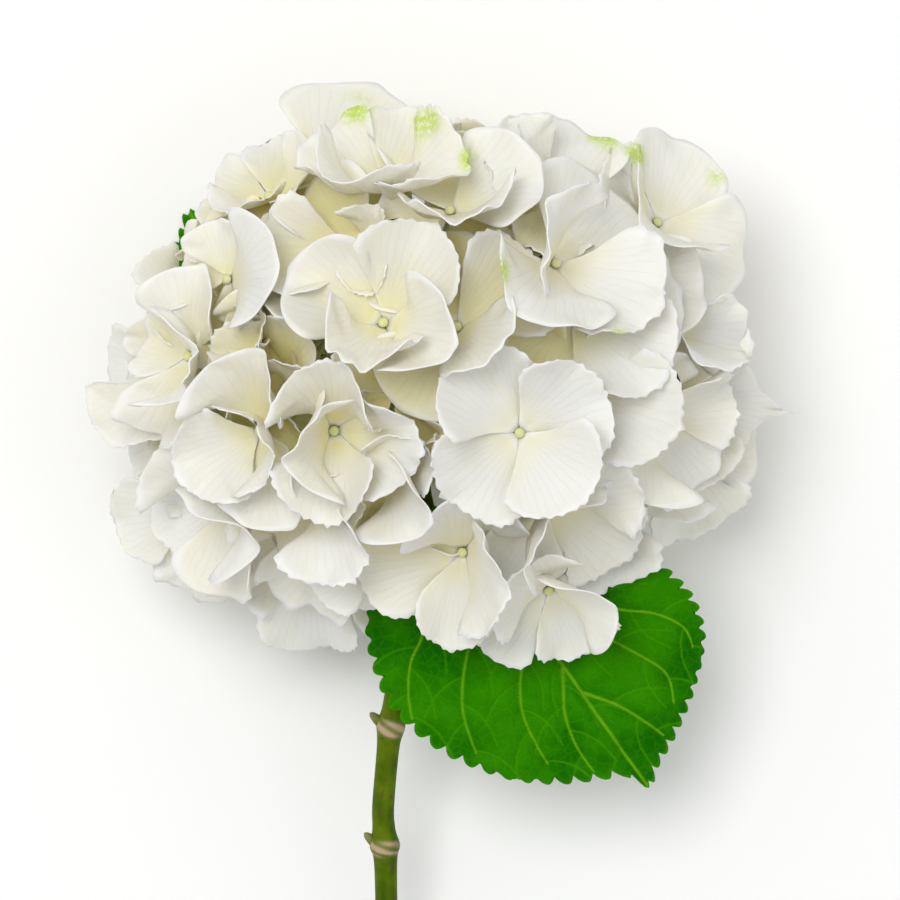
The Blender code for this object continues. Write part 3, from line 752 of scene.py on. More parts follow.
# ---- sepals
@dataclass
class Sepal:
    """One sepal: the middle line and width of its solid plate, and how it is shaped."""

    line: list[Vector]
    sideways: Vector
    face: Vector
    half_width: float
    columns: int = 16
    rows: int = 18
    overhang: float = 1.09
    broadening: float = 1.12
    cup: float = 0.16
    ruffle: float = 0.9 * MM
    waves: float = 5.0
    phase: float = 0.0
    lean: float = 0.0
    curl: float = 0.0
    taper: float = 0.0
    point: float = 0.035
    teeth: float = 0.0
    tint: float = 0.5
    thickness: float = 0.34 * MM

    STATIONS = (0.0, 0.40, 0.78, 1.0)

    def __post_init__(self) -> None:
        """Fits the middle line."""
        self.middle = MiddleLine(self.line, self.STATIONS)

    def spot(self, x: float, y: float) -> tuple[Vector, float, float, float]:
        """A point of the sepal's middle surface.

        Args:
            x: across the sheet, -1 to 1.
            y: along the sheet, -1 to 1.

        Returns:
            The point, its share along, its place across from -1 to 1, and its nearness to the rim.
        """
        dx, dy = squircle(x, y)
        rim = max(abs(x), abs(y))
        angle = math.atan2(dy, dx)
        along = (dy + 1.0) / 2.0
        tip = math.exp(-((dx / 0.16) ** 2)) * smooth(0.80, 1.0, along)
        bite = self.teeth * (0.5 + 0.5 * math.sin(angle * 26.0 + self.phase)) * smooth(0.8, 1, rim)
        station = along * self.overhang * (1.0 - bite * smooth(0.5, 1.0, along)) + tip * self.point
        taper = 0.42 + 0.58 * smooth(0.0, 0.48, along)
        taper *= 1.0 + 0.10 * math.sin(math.pi * along)
        taper *= 1.0 - self.taper * smooth(0.35, 1.0, along)
        across = dx * taper * (1.0 - bite)
        place = self.middle.at(station)
        ahead = self.middle.at(station + 0.02)
        tangent = (ahead - place).normalized()
        normal = self.sideways.cross(tangent).normalized()
        if normal.dot(self.face) < 0:
            normal = -normal
        width = self.half_width * self.broadening
        bowl = self.cup * across**2 * width * smooth(0.0, 0.4, along)
        wave = self.ruffle * math.sin(self.waves * angle + self.phase)
        wave += 0.4 * self.ruffle * math.sin(self.waves * 2.3 * angle + self.phase * 1.7)
        height = bowl + wave * smooth(0.35, 1.0, rim) * smooth(0.1, 0.5, along)
        fan = across / (0.35 + 0.65 * along)
        crease = 0.16 * MM * math.cos(fan * 9.0) * smooth(0.1, 0.4, along) * (1 - rim**4)
        keel = -0.35 * MM * math.exp(-((across / 0.10) ** 2)) * (1.0 - along)
        height += crease + keel + self.lean * across * width + self.curl * along**2.5
        place = place + self.sideways * across * width + normal * height
        return place, along, across, rim

    def grow(self, bm: bmesh.types.BMesh, plan: HeadPlan, inner: float) -> None:
        """Adds the sepal to a floret's mesh.

        Args:
            bm: the floret's mesh, with its tissue layer and its layer of lime blotches and painted
                shade.
            plan: the head's plan, for the painted shade that grows warmer with the depth in the
                head.
            inner: how much painted shade, as a warmer cream, the whole sepal gets.
        """
        tissue = bm.verts.layers.float_color["tissue"]
        lime_and_shade = bm.verts.layers.float_color["lime_and_shade"]
        sheet = bmesh.ops.create_grid(bm, x_segments=self.columns, y_segments=self.rows,
                                      size=1.0)["verts"]
        for corner in sheet:
            place, along, across, rim = self.spot(corner.co.x, corner.co.y)
            place.z = max(place.z, 0.5 * MM)
            corner.co = place
            corner[tissue] = (along, across / 2.0 + 0.5, rim, self.tint)
            # Painted shade: the deeper a point lies in the head, the warmer cream it is painted
            deep = smooth(-0.19, 0.08, plan.depth(place))
            corner[lime_and_shade] = (self.lime(place, rim, plan), max(inner, deep), 0.0, 1.0)
        thicken(bm, sheet, self.thickness)

    @staticmethod
    def lime(place: Vector, rim: float, plan: HeadPlan) -> float:
        """How green a point's blotch is."""
        away = place - HEAD_CENTRE - plan.shift
        if away.z < 0 or rim < 0.45:
            return 0.0
        best = 0.0
        for x, y, reach in LIME_MARKS:
            gap = math.hypot(away.x - x * MM, away.y - y * MM) / (reach * MM)
            best = max(best, 1.0 - gap)
        return smooth(0.05, 0.6, best) * smooth(0.45, 0.9, rim)


@dataclass
class SolidFloret:
    """What a floret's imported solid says: its sepals' middle lines and its pedicel's end."""

    matrix: Matrix
    lines: list[tuple[list[Vector], Vector, Vector, float]]
    pedicel_end: Vector | None

    PEDICEL_CORNERS = 12

    @classmethod
    def read(cls, node: str, matrix: Matrix) -> "SolidFloret":
        """Reads one packed floret.

        Args:
            node: the solid's name.
            matrix: the floret's own frame.

        Returns:
            What was read.
        """
        bm = bmesh.new()
        bm.from_mesh(frame["nodes"][node].data)
        bmesh.ops.remove_doubles(bm, verts=bm.verts, dist=0.01 * MM)
        eye = matrix.translation
        core = {corner for corner in bm.verts if (corner.co - eye).length < CORE_REACH}
        inverse = matrix.inverted()
        lines, end = [], None
        seen = set(core)
        for start in bm.verts:
            if start in seen:
                continue
            island, queue = [], [start]
            seen.add(start)
            while queue:
                corner = queue.pop()
                island.append(corner)
                for edge in corner.link_edges:
                    other = edge.other_vert(corner)
                    if other not in seen:
                        seen.add(other)
                        queue.append(other)
            if len(island) <= cls.PEDICEL_CORNERS:
                end = sum((corner.co for corner in island), Vector()) / len(island)
            else:
                lines.append(cls.plate(island, core, matrix, inverse))
        bm.free()
        return cls(matrix, lines, end)

    @staticmethod
    def plate(island: list[bmesh.types.BMVert], core: set[bmesh.types.BMVert], matrix: Matrix,
              inverse: Matrix) -> tuple[list[Vector], Vector, Vector, float]:
        """Reads one sepal plate row by row, from the hub outwards."""
        rows, seen, members = [], set(core), set(island)
        front = set(core)
        while members - seen:
            row = {edge.other_vert(corner) for corner in front for edge in corner.link_edges}
            row = (row & members) - seen
            if not row:
                break
            rows.append(row)
            seen |= row
            front = row
        local = [[inverse @ corner.co for corner in row] for row in rows]
        tip = sum(local[-1], Vector()) / len(local[-1])
        outward = Vector((tip.x, tip.y, 0.0)).normalized()
        aside = Vector((-outward.y, outward.x, 0.0))
        line = [outward * HUB_RADIUS * 0.45 + Vector((0, 0, 0.35 * MM))]
        half = 0.0
        for row in local:
            ordered = sorted(row, key=lambda spot: abs(spot.dot(aside)))
            line.append((ordered[0] + ordered[1]) / 2)
            half = max(half, abs(ordered[-1].dot(aside)))
        while len(line) < 4:
            line.append(line[-1] * 2 - line[-2])
        turn = matrix.to_3x3()
        wings = sum((sum(row, Vector()) / len(row) for row in local), Vector())
        middle = sum(line[1:4], Vector())
        face = turn @ (wings - middle)
        return [matrix @ spot for spot in line[:4]], turn @ aside, face, half


@dataclass
class Floret:
    """A floret: four sepals, a budded eye and the pedicel that carries it.

    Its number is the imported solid's, or above FIRST_FILLER for one that stands for no solid.
    Its sepals are shaped beforehand where they had to be fitted.
    """

    name: str
    plan: HeadPlan
    solid: SolidFloret
    number: int
    stands_for: tuple[str, ...] = ()
    # Painted shade: how much warmer cream all of the floret's sepals are painted
    inner: float = 0.0
    eye_radius: float = 1.35 * MM
    pedicel_radius: float = 0.62 * MM
    shaped: list[Sepal] | None = None

    def sepals(self) -> list[Sepal]:
        """Shapes the sepals that the solid's plates call for."""
        draw = random.Random(self.number)
        made = []
        for index, (line, sideways, face, half) in enumerate(self.solid.lines):
            sepal = Sepal(
                line, sideways, face, half,
                overhang=draw.uniform(1.03, 1.11),
                broadening=draw.uniform(1.06, 1.20),
                cup=draw.uniform(0.18, 0.58),
                ruffle=draw.uniform(0.6, 1.7) * MM,
                waves=draw.choice((3.0, 4.0, 5.0, 6.0)),
                phase=draw.uniform(0.0, 6.28),
                lean=draw.uniform(0.03, 0.09),
                curl=draw.uniform(-1.5, 3.4) * MM,
                point=draw.uniform(0.015, 0.06),
                teeth=draw.choice((0.0, 0.0, 0.03, 0.045)),
                tint=draw.uniform(0.0, 1.0),
            )
            if self.number in CRIMPED:
                sepal.cup = sepal.cup * 1.3 + 0.25
                sepal.ruffle *= 1.5
                sepal.curl += 2.4 * MM
                sepal.broadening *= 0.90
            for trait, value in STYLES.get((self.number, index), {}).items():
                setattr(sepal, trait, value)
            made.append(sepal)
        return made

    def build_sepals(self, material: bpy.types.Material) -> bpy.types.Object:
        """Makes the sepals as one piece."""
        bm = bmesh.new()
        bm.verts.layers.float_color.new("tissue")
        bm.verts.layers.float_color.new("lime_and_shade")
        for sepal in self.shaped or self.sepals():
            sepal.grow(bm, self.plan, self.inner)
        return piece_object(self.name, bm, (material,), self.stands_for)

    def build_stalk(self, material: bpy.types.Material) -> bpy.types.Object:
        """Makes the eye, with its four closed bud lobes, and the pedicel under it."""
        bm = bmesh.new()
        rind = bm.verts.layers.float_color.new("rind")
        matrix = self.solid.matrix
        bud = bmesh.ops.create_uvsphere(bm, u_segments=16, v_segments=9,
                                        radius=self.eye_radius)["verts"]
        for corner in bud:
            angle = math.atan2(corner.co.y, corner.co.x)
            lobe = 1.0 - 0.13 * (1.0 - abs(math.cos(2.0 * angle))) * smooth(
                0.0, self.eye_radius, corner.co.z)
            corner.co.x *= lobe
            corner.co.y *= lobe
            corner.co.z *= 0.85
        bmesh.ops.transform(bm, verts=bud, space=Matrix.Identity(4),
                            matrix=matrix @ Matrix.Translation((0, 0, 0.9 * MM)))
        eye = matrix.translation
        end = self.solid.pedicel_end
        if end is not None:
            down = matrix.to_3x3() @ Vector((0, 0, -1))
            span = end - eye
            bend = span.length * 0.22
            route = spline([eye + down * 0.3 * MM, eye + down * bend * 0.5,
                            eye + span * 0.55 + down * bend * 0.3, end + span.normalized() * MM],
                           5)
            count = len(route)
            radii = [self.pedicel_radius * (1.0 + 1.9 * smooth(0.22, 0.0, index / count))
                     if index / count < 0.22 else self.pedicel_radius for index in range(count)]
            sweep(bm, route, radii, 10)
        for corner in bm.verts:
            corner[rind] = (0.0, 0.0, 0.5, 0.0)
        return piece_object(self.name.removesuffix("_sepals") + "_stalk", bm,
                            (material,))

    def build(self, sepal_material: bpy.types.Material,
              stalk_material: bpy.types.Material) -> None:
        """Makes both pieces of the floret."""
        self.build_sepals(sepal_material)
        self.build_stalk(stalk_material)


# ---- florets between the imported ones
@dataclass(frozen=True)
class Shell:
    """A shell of filler florets round the middle of the head.

    They stand on a spiral that starts at a height share and goes down by a span. Sizes are the
    least and the greatest sepal length in mm, and lifts are angles in degrees.
    """

    count: int
    top: float
    span: float
    first: float
    reach: float
    sizes: tuple[float, float]
    lifts: tuple[float, float]
    # Painted shade: how much warmer cream the shell's sepals are painted
    warmth: float = 0.20

    def rows(self, draw: random.Random) -> list["Filler"]:
        """Every filler floret of the shell."""
        golden = math.pi * (3.0 - math.sqrt(5.0))
        return [Filler(self, math.degrees(golden * index) + self.first,
                       self.top - self.span * (index + 0.5) / self.count,
                       draw.uniform(*self.sizes), draw.uniform(*self.lifts),
                       draw.uniform(0.0, 90.0)) for index in range(self.count)]


@dataclass(frozen=True)
class Filler:
    """A smaller floret in a gap: direction in plan, height share, size, opening and roll."""

    shell: Shell
    angle: float
    share: float
    size: float
    lift: float
    roll: float


FIRST_FILLER = 400
# A shell's last number is its painted shade: 0.45 for the inner shell, 0.20 for the others
INNER_SHELL = Shell(40, 1.0, 1.75, 0.0, 0.86, (18.0, 22.0), (38.0, 68.0), 0.45)
UNDER_SHELL = Shell(40, 0.05, 0.85, 21.0, 0.91, (17.0, 22.0), (22.0, 52.0))
UPRIGHT_SHELL = Shell(44, 1.0, 0.72, 47.0, 0.93, (16.0, 21.0), (46.0, 78.0))


@dataclass
class FillerFlorets:
    """The florets that close the gaps inside and under the head.

    None of them stands within a gap, in degrees, of the stem or the back leaf, below a height
    share. Each sepal is tried at a few lengths along lanes and stops of its own sheet.
    """

    plan: HeadPlan
    seed: int = 5
    stem_gap: float = 30.0
    stem_top: float = 0.55
    leaf_direction: float = 157.0
    leaf_gap: float = 16.0
    leaf_top: float = 0.30
    clearance: float = 7.0 * MM

    LENGTHS = (1.0, 0.90, 0.80, 0.70, 0.60, 0.50)
    LANES = (-0.95, -0.5, 0.0, 0.5, 0.95)
    STOPS = (-0.7, -0.3, 0.1, 0.5, 0.8, 0.99)

    def rows(self) -> list[Filler]:
        """The inner shell all round, the underside, then upright ones between the open ones."""
        draw = random.Random(self.seed)
        return [row for shell in (INNER_SHELL, UNDER_SHELL, UPRIGHT_SHELL)
                for row in shell.rows(draw)]

    def solid(self, row: Filler) -> SolidFloret | None:
        """Lays out one filler floret, or None where the stem or a leaf stalk passes."""
        at_stem = turned_from(row.angle, STEM_DIRECTION) < self.stem_gap
        at_leaf = turned_from(row.angle, self.leaf_direction) < self.leaf_gap
        if at_stem and row.share < self.stem_top:
            return None
        if at_leaf and row.share < self.leaf_top and row.shell is not INNER_SHELL:
            return None
        spread = math.sqrt(1.0 - row.share**2)
        turn = math.radians(row.angle)
        unit = Vector((spread * math.cos(turn), spread * math.sin(turn), row.share))
        spot = HEAD_CENTRE + self.plan.shift + by_radii(unit, row.shell.reach)
        spot.z = max(spot.z, self.clearance)
        matrix = standing(spot, over_radii(unit).normalized(), row.roll)
        lines = []
        for quarter in range(4):
            aim = math.radians(90.0 * quarter)
            outward = Vector((math.cos(aim), math.sin(aim), 0.0))
            aside = Vector((-outward.y, outward.x, 0.0))
            lift = math.radians(row.lift + (9.0 if quarter % 2 else 0.0))
            line = []
            for station in Sepal.STATIONS:
                slope = lift - 0.24 * station
                along = outward * math.cos(slope) + Vector((0, 0, math.sin(slope)))
                line.append(matrix @ (outward * HUB_RADIUS * 0.45
                                      + along * row.size * MM * station))
            turn3 = matrix.to_3x3()
            lines.append((line, turn3 @ aside, turn3 @ Vector((0, 0, 1)), row.size * MM * 0.5))
        knuckle = min(self.plan.knuckles(), key=lambda place: (place - spot).length)
        return SolidFloret(matrix, lines, knuckle)

    @staticmethod
    def outer_surface() -> BVHTree:
        """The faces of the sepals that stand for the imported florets."""
        corners, faces = [], []
        for piece in bpy.data.objects:
            if piece.name.startswith("floret_") and piece.name.endswith("_sepals"):
                first = len(corners)
                corners += [corner.co.copy() for corner in piece.data.vertices]
                faces += [[first + index for index in face.vertices]
                          for face in piece.data.polygons]
        return BVHTree.FromPolygons(corners, faces)

    def fitted(self, sepal: Sepal, outer: BVHTree) -> bool:
        """Shortens a sepal until it no longer runs through the outer ones.

        Args:
            sepal: the sepal, changed in place.
            outer: the outer sepals' faces.

        Returns:
            Whether the sepal fits at any length.
        """
        full, wide = sepal.overhang, sepal.broadening
        for share in self.LENGTHS:
            sepal.overhang = full * share
            sepal.broadening = wide * (0.5 + 0.5 * share)
            crossed = 0
            for x in self.LANES:
                run = [sepal.spot(x, y)[0] for y in self.STOPS]
                crossed += sum(outer.ray_cast(near, far - near, (far - near).length)[0] is not None
                               for near, far in zip(run, run[1:]))
            if not crossed:
                return True
        return False

    def build(self, sepal_material: bpy.types.Material,
              stalk_material: bpy.types.Material) -> None:
        """Makes every filler floret."""
        made = 0
        outer = self.outer_surface()
        for index, row in enumerate(self.rows(), start=1):
            solid = self.solid(row)
            if solid is None:
                continue
            # Each filler's sepals get their shell's painted shade
            floret = Floret(f"inner_floret_{index:02d}", self.plan, solid, FIRST_FILLER + index,
                            inner=row.shell.warmth)
            floret.shaped = [sepal for sepal in floret.sepals() if self.fitted(sepal, outer)]
            if not floret.shaped:
                continue
            floret.build(sepal_material, stalk_material)
            made += 1
        LOG.info("filler florets: %d", made)


# ---- rays
@dataclass
class Rays:
    """The short branches between the crown of the stem and the florets."""

    plan: HeadPlan
    radius: float = 1.7 * MM
    sides: int = 18
    rings: int = 26

    def build(self, material: bpy.types.Material) -> None:
        """Makes one piece for each ray."""
        crown = CROWN + self.plan.shift
        for number, knuckle in enumerate(self.plan.knuckles(), start=1):
            bm = bmesh.new()
            rind = bm.verts.layers.float_color.new("rind")
            away = (knuckle - crown).normalized()
            start = crown + away * (CROWN_RADIUS - 0.8 * MM)
            end = knuckle + away * KNUCKLE_RADIUS * 0.96
            run = [start.lerp(end, index / self.rings) for index in range(self.rings + 1)]
            radii = []
            for spot in run:
                past = (spot - knuckle).dot(away) / KNUCKLE_RADIUS
                swell = math.sqrt(max(1.0 - past * past, 0.0)) * KNUCKLE_RADIUS * 0.92
                foot = 0.9 * MM * smooth(6.0 * MM, 0.0, (spot - start).length)
                radii.append(max(swell, self.radius + foot if past < 0.6 else 0.5 * MM))
            sweep(bm, run, radii, self.sides,
                  lambda ring, angle: 1.0 + 0.05 * math.sin(5.0 * angle + 0.3 * ring))
            for corner in bm.verts:
                corner[rind] = (0.0, 0.0, 0.4, 0.0)
            piece_object(f"ray_branch_{number}", bm, (material,), (f"ray_{number}",))
        LOG.info("rays: %d", len(RAY_DIRECTIONS))


# ---- stem
@dataclass
class Stem:
    """The stem with its crown, two scarred nodes, their side buds and a clean cut end."""

    plan: HeadPlan
    radius: float = 3.25 * MM
    sides: int = 32
    readings: int = 14
    dot_count: int = 150
    seed: int = 11

    ROUTE = (
        ((-4.0, -15.2, 66.8), 1.10),
        ((-4.0, -17.0, 66.5), 1.70),
        ((-4.0, -20.0, 66.0), 1.98),
        ((-3.8, -25.5, 64.8), 1.55),
        ((-3.5, -34.0, 62.5), 1.10),
        ((-3.5, -42.0, 60.5), 1.45),
        ((-4.0, -50.0, 58.3), 1.05),
        ((-7.5, -75.0, 51.5), 0.95),
        ((-10.2, -95.0, 46.0), 0.96),
        ((-11.2, -101.5, 44.2), 1.20),
        ((-12.0, -108.0, 42.4), 0.98),
        ((-13.4, -124.0, 38.0), 0.96),
        ((-13.3, -131.0, 36.1), 1.00),
        ((-13.0, -136.0, 34.7), 1.26),
        ((-12.8, -142.0, 33.1), 1.00),
        ((-12.5, -165.0, 26.8), 0.97),
        ((-12.0, -200.0, 17.2), 0.98),
        ((-11.0, -251.0, 2.98), 1.00),
    )
    NODES = (9, 13)

    def build(self, material: bpy.types.Material) -> None:
        """Makes the stem as one piece."""
        bm = bmesh.new()
        rind = bm.verts.layers.float_color.new("rind")
        points = [(*place, factor) for place, factor in self.ROUTE]
        read = spline(points, self.readings)
        run = [Vector(spot[:3]) * MM + self.plan.shift for spot in read]
        radii = [spot[3] * self.radius for spot in read]
        knots = [Vector(self.ROUTE[index][0]) * MM + self.plan.shift for index in self.NODES]
        draw = random.Random(self.seed)
        dots = [(draw.uniform(0.0, len(run)), draw.uniform(-math.pi, math.pi),
                 draw.uniform(0.6, 1.3)) for _ in range(self.dot_count)]

        def shape(ring: int, angle: float) -> float:
            """Soft ribs, with the collar of a fallen leaf at each node."""
            rib = 1.0 + 0.012 * math.sin(6.0 * angle) + 0.006 * math.sin(11.0 * angle + 1.0)
            near = min((run[ring] - knot).length for knot in knots)
            collar = math.exp(-((near / (1.6 * MM)) ** 2))
            return rib + 0.05 * collar * abs(math.cos(angle))

        rings = sweep(bm, run, radii, self.sides, shape)
        for number, ring in enumerate(rings):
            near = min((run[number] - knot).length for knot in knots)
            scar = smooth(3.2, 1.2, near / MM)
            for corner in ring:
                offset = corner.co - run[number]
                angle = math.atan2(offset.z, offset.x)
                spot = 0.0
                for along, around, size in dots:
                    gap = math.hypot((along - number) * 0.9,
                                     ((angle - around + math.pi) % math.tau - math.pi) * 5.0)
                    spot = max(spot, 1.0 - gap / size)
                broken = 0.55 + 0.45 * math.sin(3.0 * angle + number * 0.7)
                corner[rind] = (scar * broken, smooth(0.0, 0.5, spot) * 0.8,
                                0.5 + 0.5 * math.sin(6.0 * angle), 0.0)
        for index in self.NODES:
            self.bud(bm, index)
        for corner in bm.verts:
            corner.co.z = max(corner.co.z, 0.02 * MM)
        piece_object("stem_rind", bm, (material,), ("stem",))
        LOG.info("stem: %d rings", len(rings))

    def bud(self, bm: bmesh.types.BMesh, index: int) -> None:
        """Adds the small pointed bud above a node's leaf scar."""
        rind = bm.verts.layers.float_color["rind"]
        node = Vector(self.ROUTE[index][0]) * MM + self.plan.shift
        root = node + Vector((-self.radius * 0.75, 0.5 * MM, 0.3 * MM))
        tip = node + Vector((-self.radius - 2.6 * MM, 3.6 * MM, 0.3 * MM))
        count = 9
        run = [root.lerp(tip, step / count) for step in range(count + 1)]
        radii = [1.5 * MM * math.sqrt(max(1.0 - (step / count) ** 1.6, 0.0)) + 0.12 * MM
                 for step in range(count + 1)]
        rings = sweep(bm, run, radii, 12)
        for number, ring in enumerate(rings):
            for corner in ring:
                corner[rind] = (0.35 * number / count, 0.0, 0.8, 0.0)


# ---- leaves
@dataclass
class Leaf:
    """A toothed blade with sunken veins, and the stalk that carries it.

    Outline and veins are given as shares of the blade's length and mm across. Where the
    margin's run jumps by more than SEAM mm, its two ends meet.
    """

    name: str
    plan: HeadPlan
    outline: tuple[tuple[float, float], ...]
    base: tuple[float, float]
    tip: tuple[float, float]
    petiole: tuple[tuple[float, float, float], ...]
    veins: tuple[tuple[tuple[float, float], ...], ...]
    height: Callable[[float, float], float]
    segments: int = 206
    tooth_pitch: float = 4.3
    tooth_depth: float = 2.4
    quilt: float = 1.15
    centre: float = 0.42
    thickness: float = 0.55 * MM
    petiole_radius: float = 1.6 * MM

    SEAM = 5.0

    @property
    def length(self) -> float:
        """The blade's length in mm."""
        return math.dist(self.base, self.tip)

    def reach_table(self, steps: int = 1440) -> list[tuple[float, float]]:
        """For each direction from the blade's middle, the margin's distance and run length."""
        line = spline([(share * self.length, across) for share, across in self.outline], 8)
        middle = Vector((self.centre * self.length, 0.0))
        samples, run = [], 0.0
        for near, far in zip(line, line[1:]):
            for part in range(4):
                away = near.lerp(far, part / 4) - middle
                samples.append((math.atan2(away.y, away.x), away.length,
                                run + (far - near).length * part / 4))
            run += (far - near).length
        samples.sort()
        table, index = [], 0
        for step in range(steps):
            angle = -math.pi + math.tau * step / steps
            while index < len(samples) - 1 and samples[index][0] < angle:
                index += 1
            low, high = samples[max(index - 1, 0)], samples[index]
            gap = high[0] - low[0]
            part = min(max((angle - low[0]) / gap, 0.0), 1.0) if gap > 1e-9 else 0.0
            far_apart = abs(high[2] - low[2]) > self.SEAM
            table.append((low[1] + (high[1] - low[1]) * part,
                          high[2] if far_apart else low[2] + (high[2] - low[2]) * part))
        return table

    def margin(self, table: list[tuple[float, float]], angle: float) -> tuple[float, float]:
        """Reads the margin's distance and run length in a direction."""
        at = (angle + math.pi) / math.tau * len(table)
        near, far = table[int(at) % len(table)], table[(int(at) + 1) % len(table)]
        part = at - int(at)
        run = near[1] + (far[1] - near[1]) * part if abs(far[1] - near[1]) < self.SEAM else near[1]
        return near[0] + (far[0] - near[0]) * part, run

    def bite(self, run: float, on_left: bool) -> float:
        """How deep the margin is cut at a place: rounded teeth that lean to the tip."""
        pitch = self.tooth_pitch * (1.3 if on_left else 1.0)
        tooth = (run / pitch) % 1.0
        tooth = 1.0 - tooth if on_left else tooth
        crest = 0.64
        off = (crest - tooth) / crest if tooth < crest else (tooth - crest) / (1.0 - crest)
        return self.tooth_depth * off**2.2

    def plane_to_frame(self, along: float, across: float, lift: float) -> Vector:
        """Carries a blade point, in mm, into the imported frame."""
        base, tip = Vector(self.base), Vector(self.tip)
        way = (tip - base).normalized()
        side = Vector((-way.y, way.x))
        flat = base + way * along + side * across
        high = self.height(along / self.length, across) + lift
        return Vector((flat.x, flat.y, high)) * MM + self.plan.shift

    def build(self, upper: bpy.types.Material, lower: bpy.types.Material) -> None:
        """Makes the blade and its stalk as one piece.

        Args:
            upper: the finish of the glossy face, which is turned up.
            lower: the finish of the paler underside.
        """
        bm = bmesh.new()
        blade = bm.verts.layers.float_color.new("blade")
        table = self.reach_table()
        veins = [spline([(s * self.length, a) for s, a in vein], 6) for vein in self.veins]
        twigs = [twig for vein in veins for twig in self.twigs(vein)]
        main_net, twig_net = Net(veins), Net(twigs)
        sheet = bmesh.ops.create_grid(bm, x_segments=self.segments, y_segments=self.segments,
                                      size=1.0)["verts"]
        for corner in sheet:
            dx, dy = squircle(corner.co.x, corner.co.y)
            rim = max(abs(corner.co.x), abs(corner.co.y))
            angle, share = math.atan2(dx, dy), math.hypot(dx, dy)
            radius, run = self.margin(table, angle)
            reach = radius - self.bite(run, dx < 0) * smooth(0.90, 1.0, rim)
            along = self.centre * self.length + share * reach * math.cos(angle)
            across = share * reach * math.sin(angle)
            gap, number, place = main_net.nearest(along, across)
            twig = twig_net.nearest(along, across)[0]
            half = (0.62 if number == 0 else 0.48) * (1.0 - 0.45 * place)
            crease = math.exp(-((gap / 2.4) ** 2)) + 0.5 * math.exp(-((twig / 1.4) ** 2))
            lift = self.quilt * (0.5 - crease) * smooth(1.02, 0.80, rim)
            corner.co = self.plane_to_frame(along, across, lift)
            corner.co.z = max(corner.co.z, self.thickness)
            corner[blade] = (1.0 - smooth(0.45 * half, 1.5 * half, gap),
                             1.0 - smooth(0.12, 0.50, twig), rim, 0.0)
        thicken(bm, sheet, self.thickness)
        bm.normal_update()
        for face in bm.faces:
            face.material_index = int(face.normal.z <= 0)
        route = [spot * MM + self.plan.shift for spot in spline(self.petiole, 7)]
        radii = [self.petiole_radius * (1.25 - 0.35 * index / len(route))
                 for index in range(len(route))]
        for ring in sweep(bm, route, radii, 14):
            for corner in ring:
                corner[blade] = (0.55, 0.0, 0.0, 0.0)
        piece_object(self.name + "_blade", bm, (upper, lower), (self.name,))
        LOG.info("%s: %d veins, %d twigs", self.name, len(veins), len(twigs))

    def twigs(self, vein: list[Vector]) -> list[list[Vector]]:
        """Short side veins off a vein, curving towards the margin."""
        made = []
        side = 1.0
        step = 5
        for index in range(step, len(vein) - 1, step):
            way = (vein[index + 1] - vein[index - 1]).normalized()
            across = Vector((-way.y, way.x)) * side
            root = vein[index]
            made.append(spline([root, root + (way * 0.45 + across * 0.8) * 4.0,
                                root + (way * 0.75 + across * 0.85) * 8.0,
                                root + (way * 1.0 + across * 0.75) * 12.5], 5))
            side = -side
        return made


def front_height(share: float, across: float) -> float:
    """The front blade's height in mm: arched along and across, with a slow wave."""
    height = 68.0 + 6.0 * share - 20.0 * share**2 - 0.0022 * across**2
    return height + 1.6 * math.sin(share * 9.0 + across / 9.0)


def back_height(share: float, across: float) -> float:
    """The back blade's height in mm: flat on the surface but for its base."""
    return 5.5 * (1.0 - min(share / 0.3, 1.0)) ** 2 + 0.35


FRONT_LEAF = {
    "outline": (
        (0.00, 1.0), (-0.01, 8.0), (0.05, 17.0), (0.12, 24.0), (0.20, 30.5), (0.36, 37.5),
        (0.46, 40.0), (0.59, 42.0), (0.68, 40.3), (0.75, 36.7), (0.83, 28.5), (0.88, 22.0),
        (0.93, 13.8), (0.97, 5.5), (1.01, 0.3), (0.96, -1.6), (0.925, -4.0), (0.89, -10.0),
        (0.83, -19.2), (0.75, -27.5), (0.65, -34.3), (0.53, -40.1), (0.38, -43.8),
        (0.27, -43.2), (0.12, -38.0), (0.04, -31.0), (-0.01, -22.0), (-0.01, -10.0),
        (0.00, 1.0)),
    "base": (6.0, -45.0),
    "tip": (60.5, -118.0),
    "petiole": ((0.6, -41.5, 63.9), (3.0, -43.0, 66.8), (8.0, -47.5, 68.3), (16.0, -58.0, 69.0)),
    "veins": (
        ((0.0, 0.0), (0.15, 1.8), (0.30, 2.6), (0.46, 1.6), (0.66, 1.0), (0.85, 0.4), (1.0, 0.0)),
        ((0.03, 0.0), (0.07, -4.0), (0.15, -16.5), (0.22, -25.5), (0.26, -32.0), (0.33, -37.5),
         (0.40, -41.0)),
        ((0.12, 1.5), (0.18, -1.0), (0.27, -10.5), (0.36, -20.0), (0.44, -26.5), (0.50, -29.5),
         (0.60, -32.5)),
        ((0.30, 2.6), (0.38, 0.4), (0.43, -3.5), (0.48, -9.0), (0.56, -14.5), (0.64, -17.0),
         (0.76, -18.5)),
        ((0.54, 1.4), (0.60, -2.5), (0.67, -6.5), (0.76, -9.0), (0.86, -9.5)),
        ((0.03, 0.0), (0.09, 8.0), (0.17, 19.0), (0.26, 27.0), (0.34, 32.0)),
        ((0.12, 1.5), (0.22, 6.5), (0.38, 14.5), (0.50, 22.5), (0.58, 30.0), (0.67, 34.3),
         (0.74, 33.0)),
        ((0.30, 2.6), (0.40, 7.0), (0.53, 14.2), (0.63, 18.9), (0.75, 22.8), (0.84, 19.5)),
        ((0.64, 1.1), (0.74, 7.0), (0.83, 10.2), (0.90, 12.0)),
    ),
    "height": front_height,
}
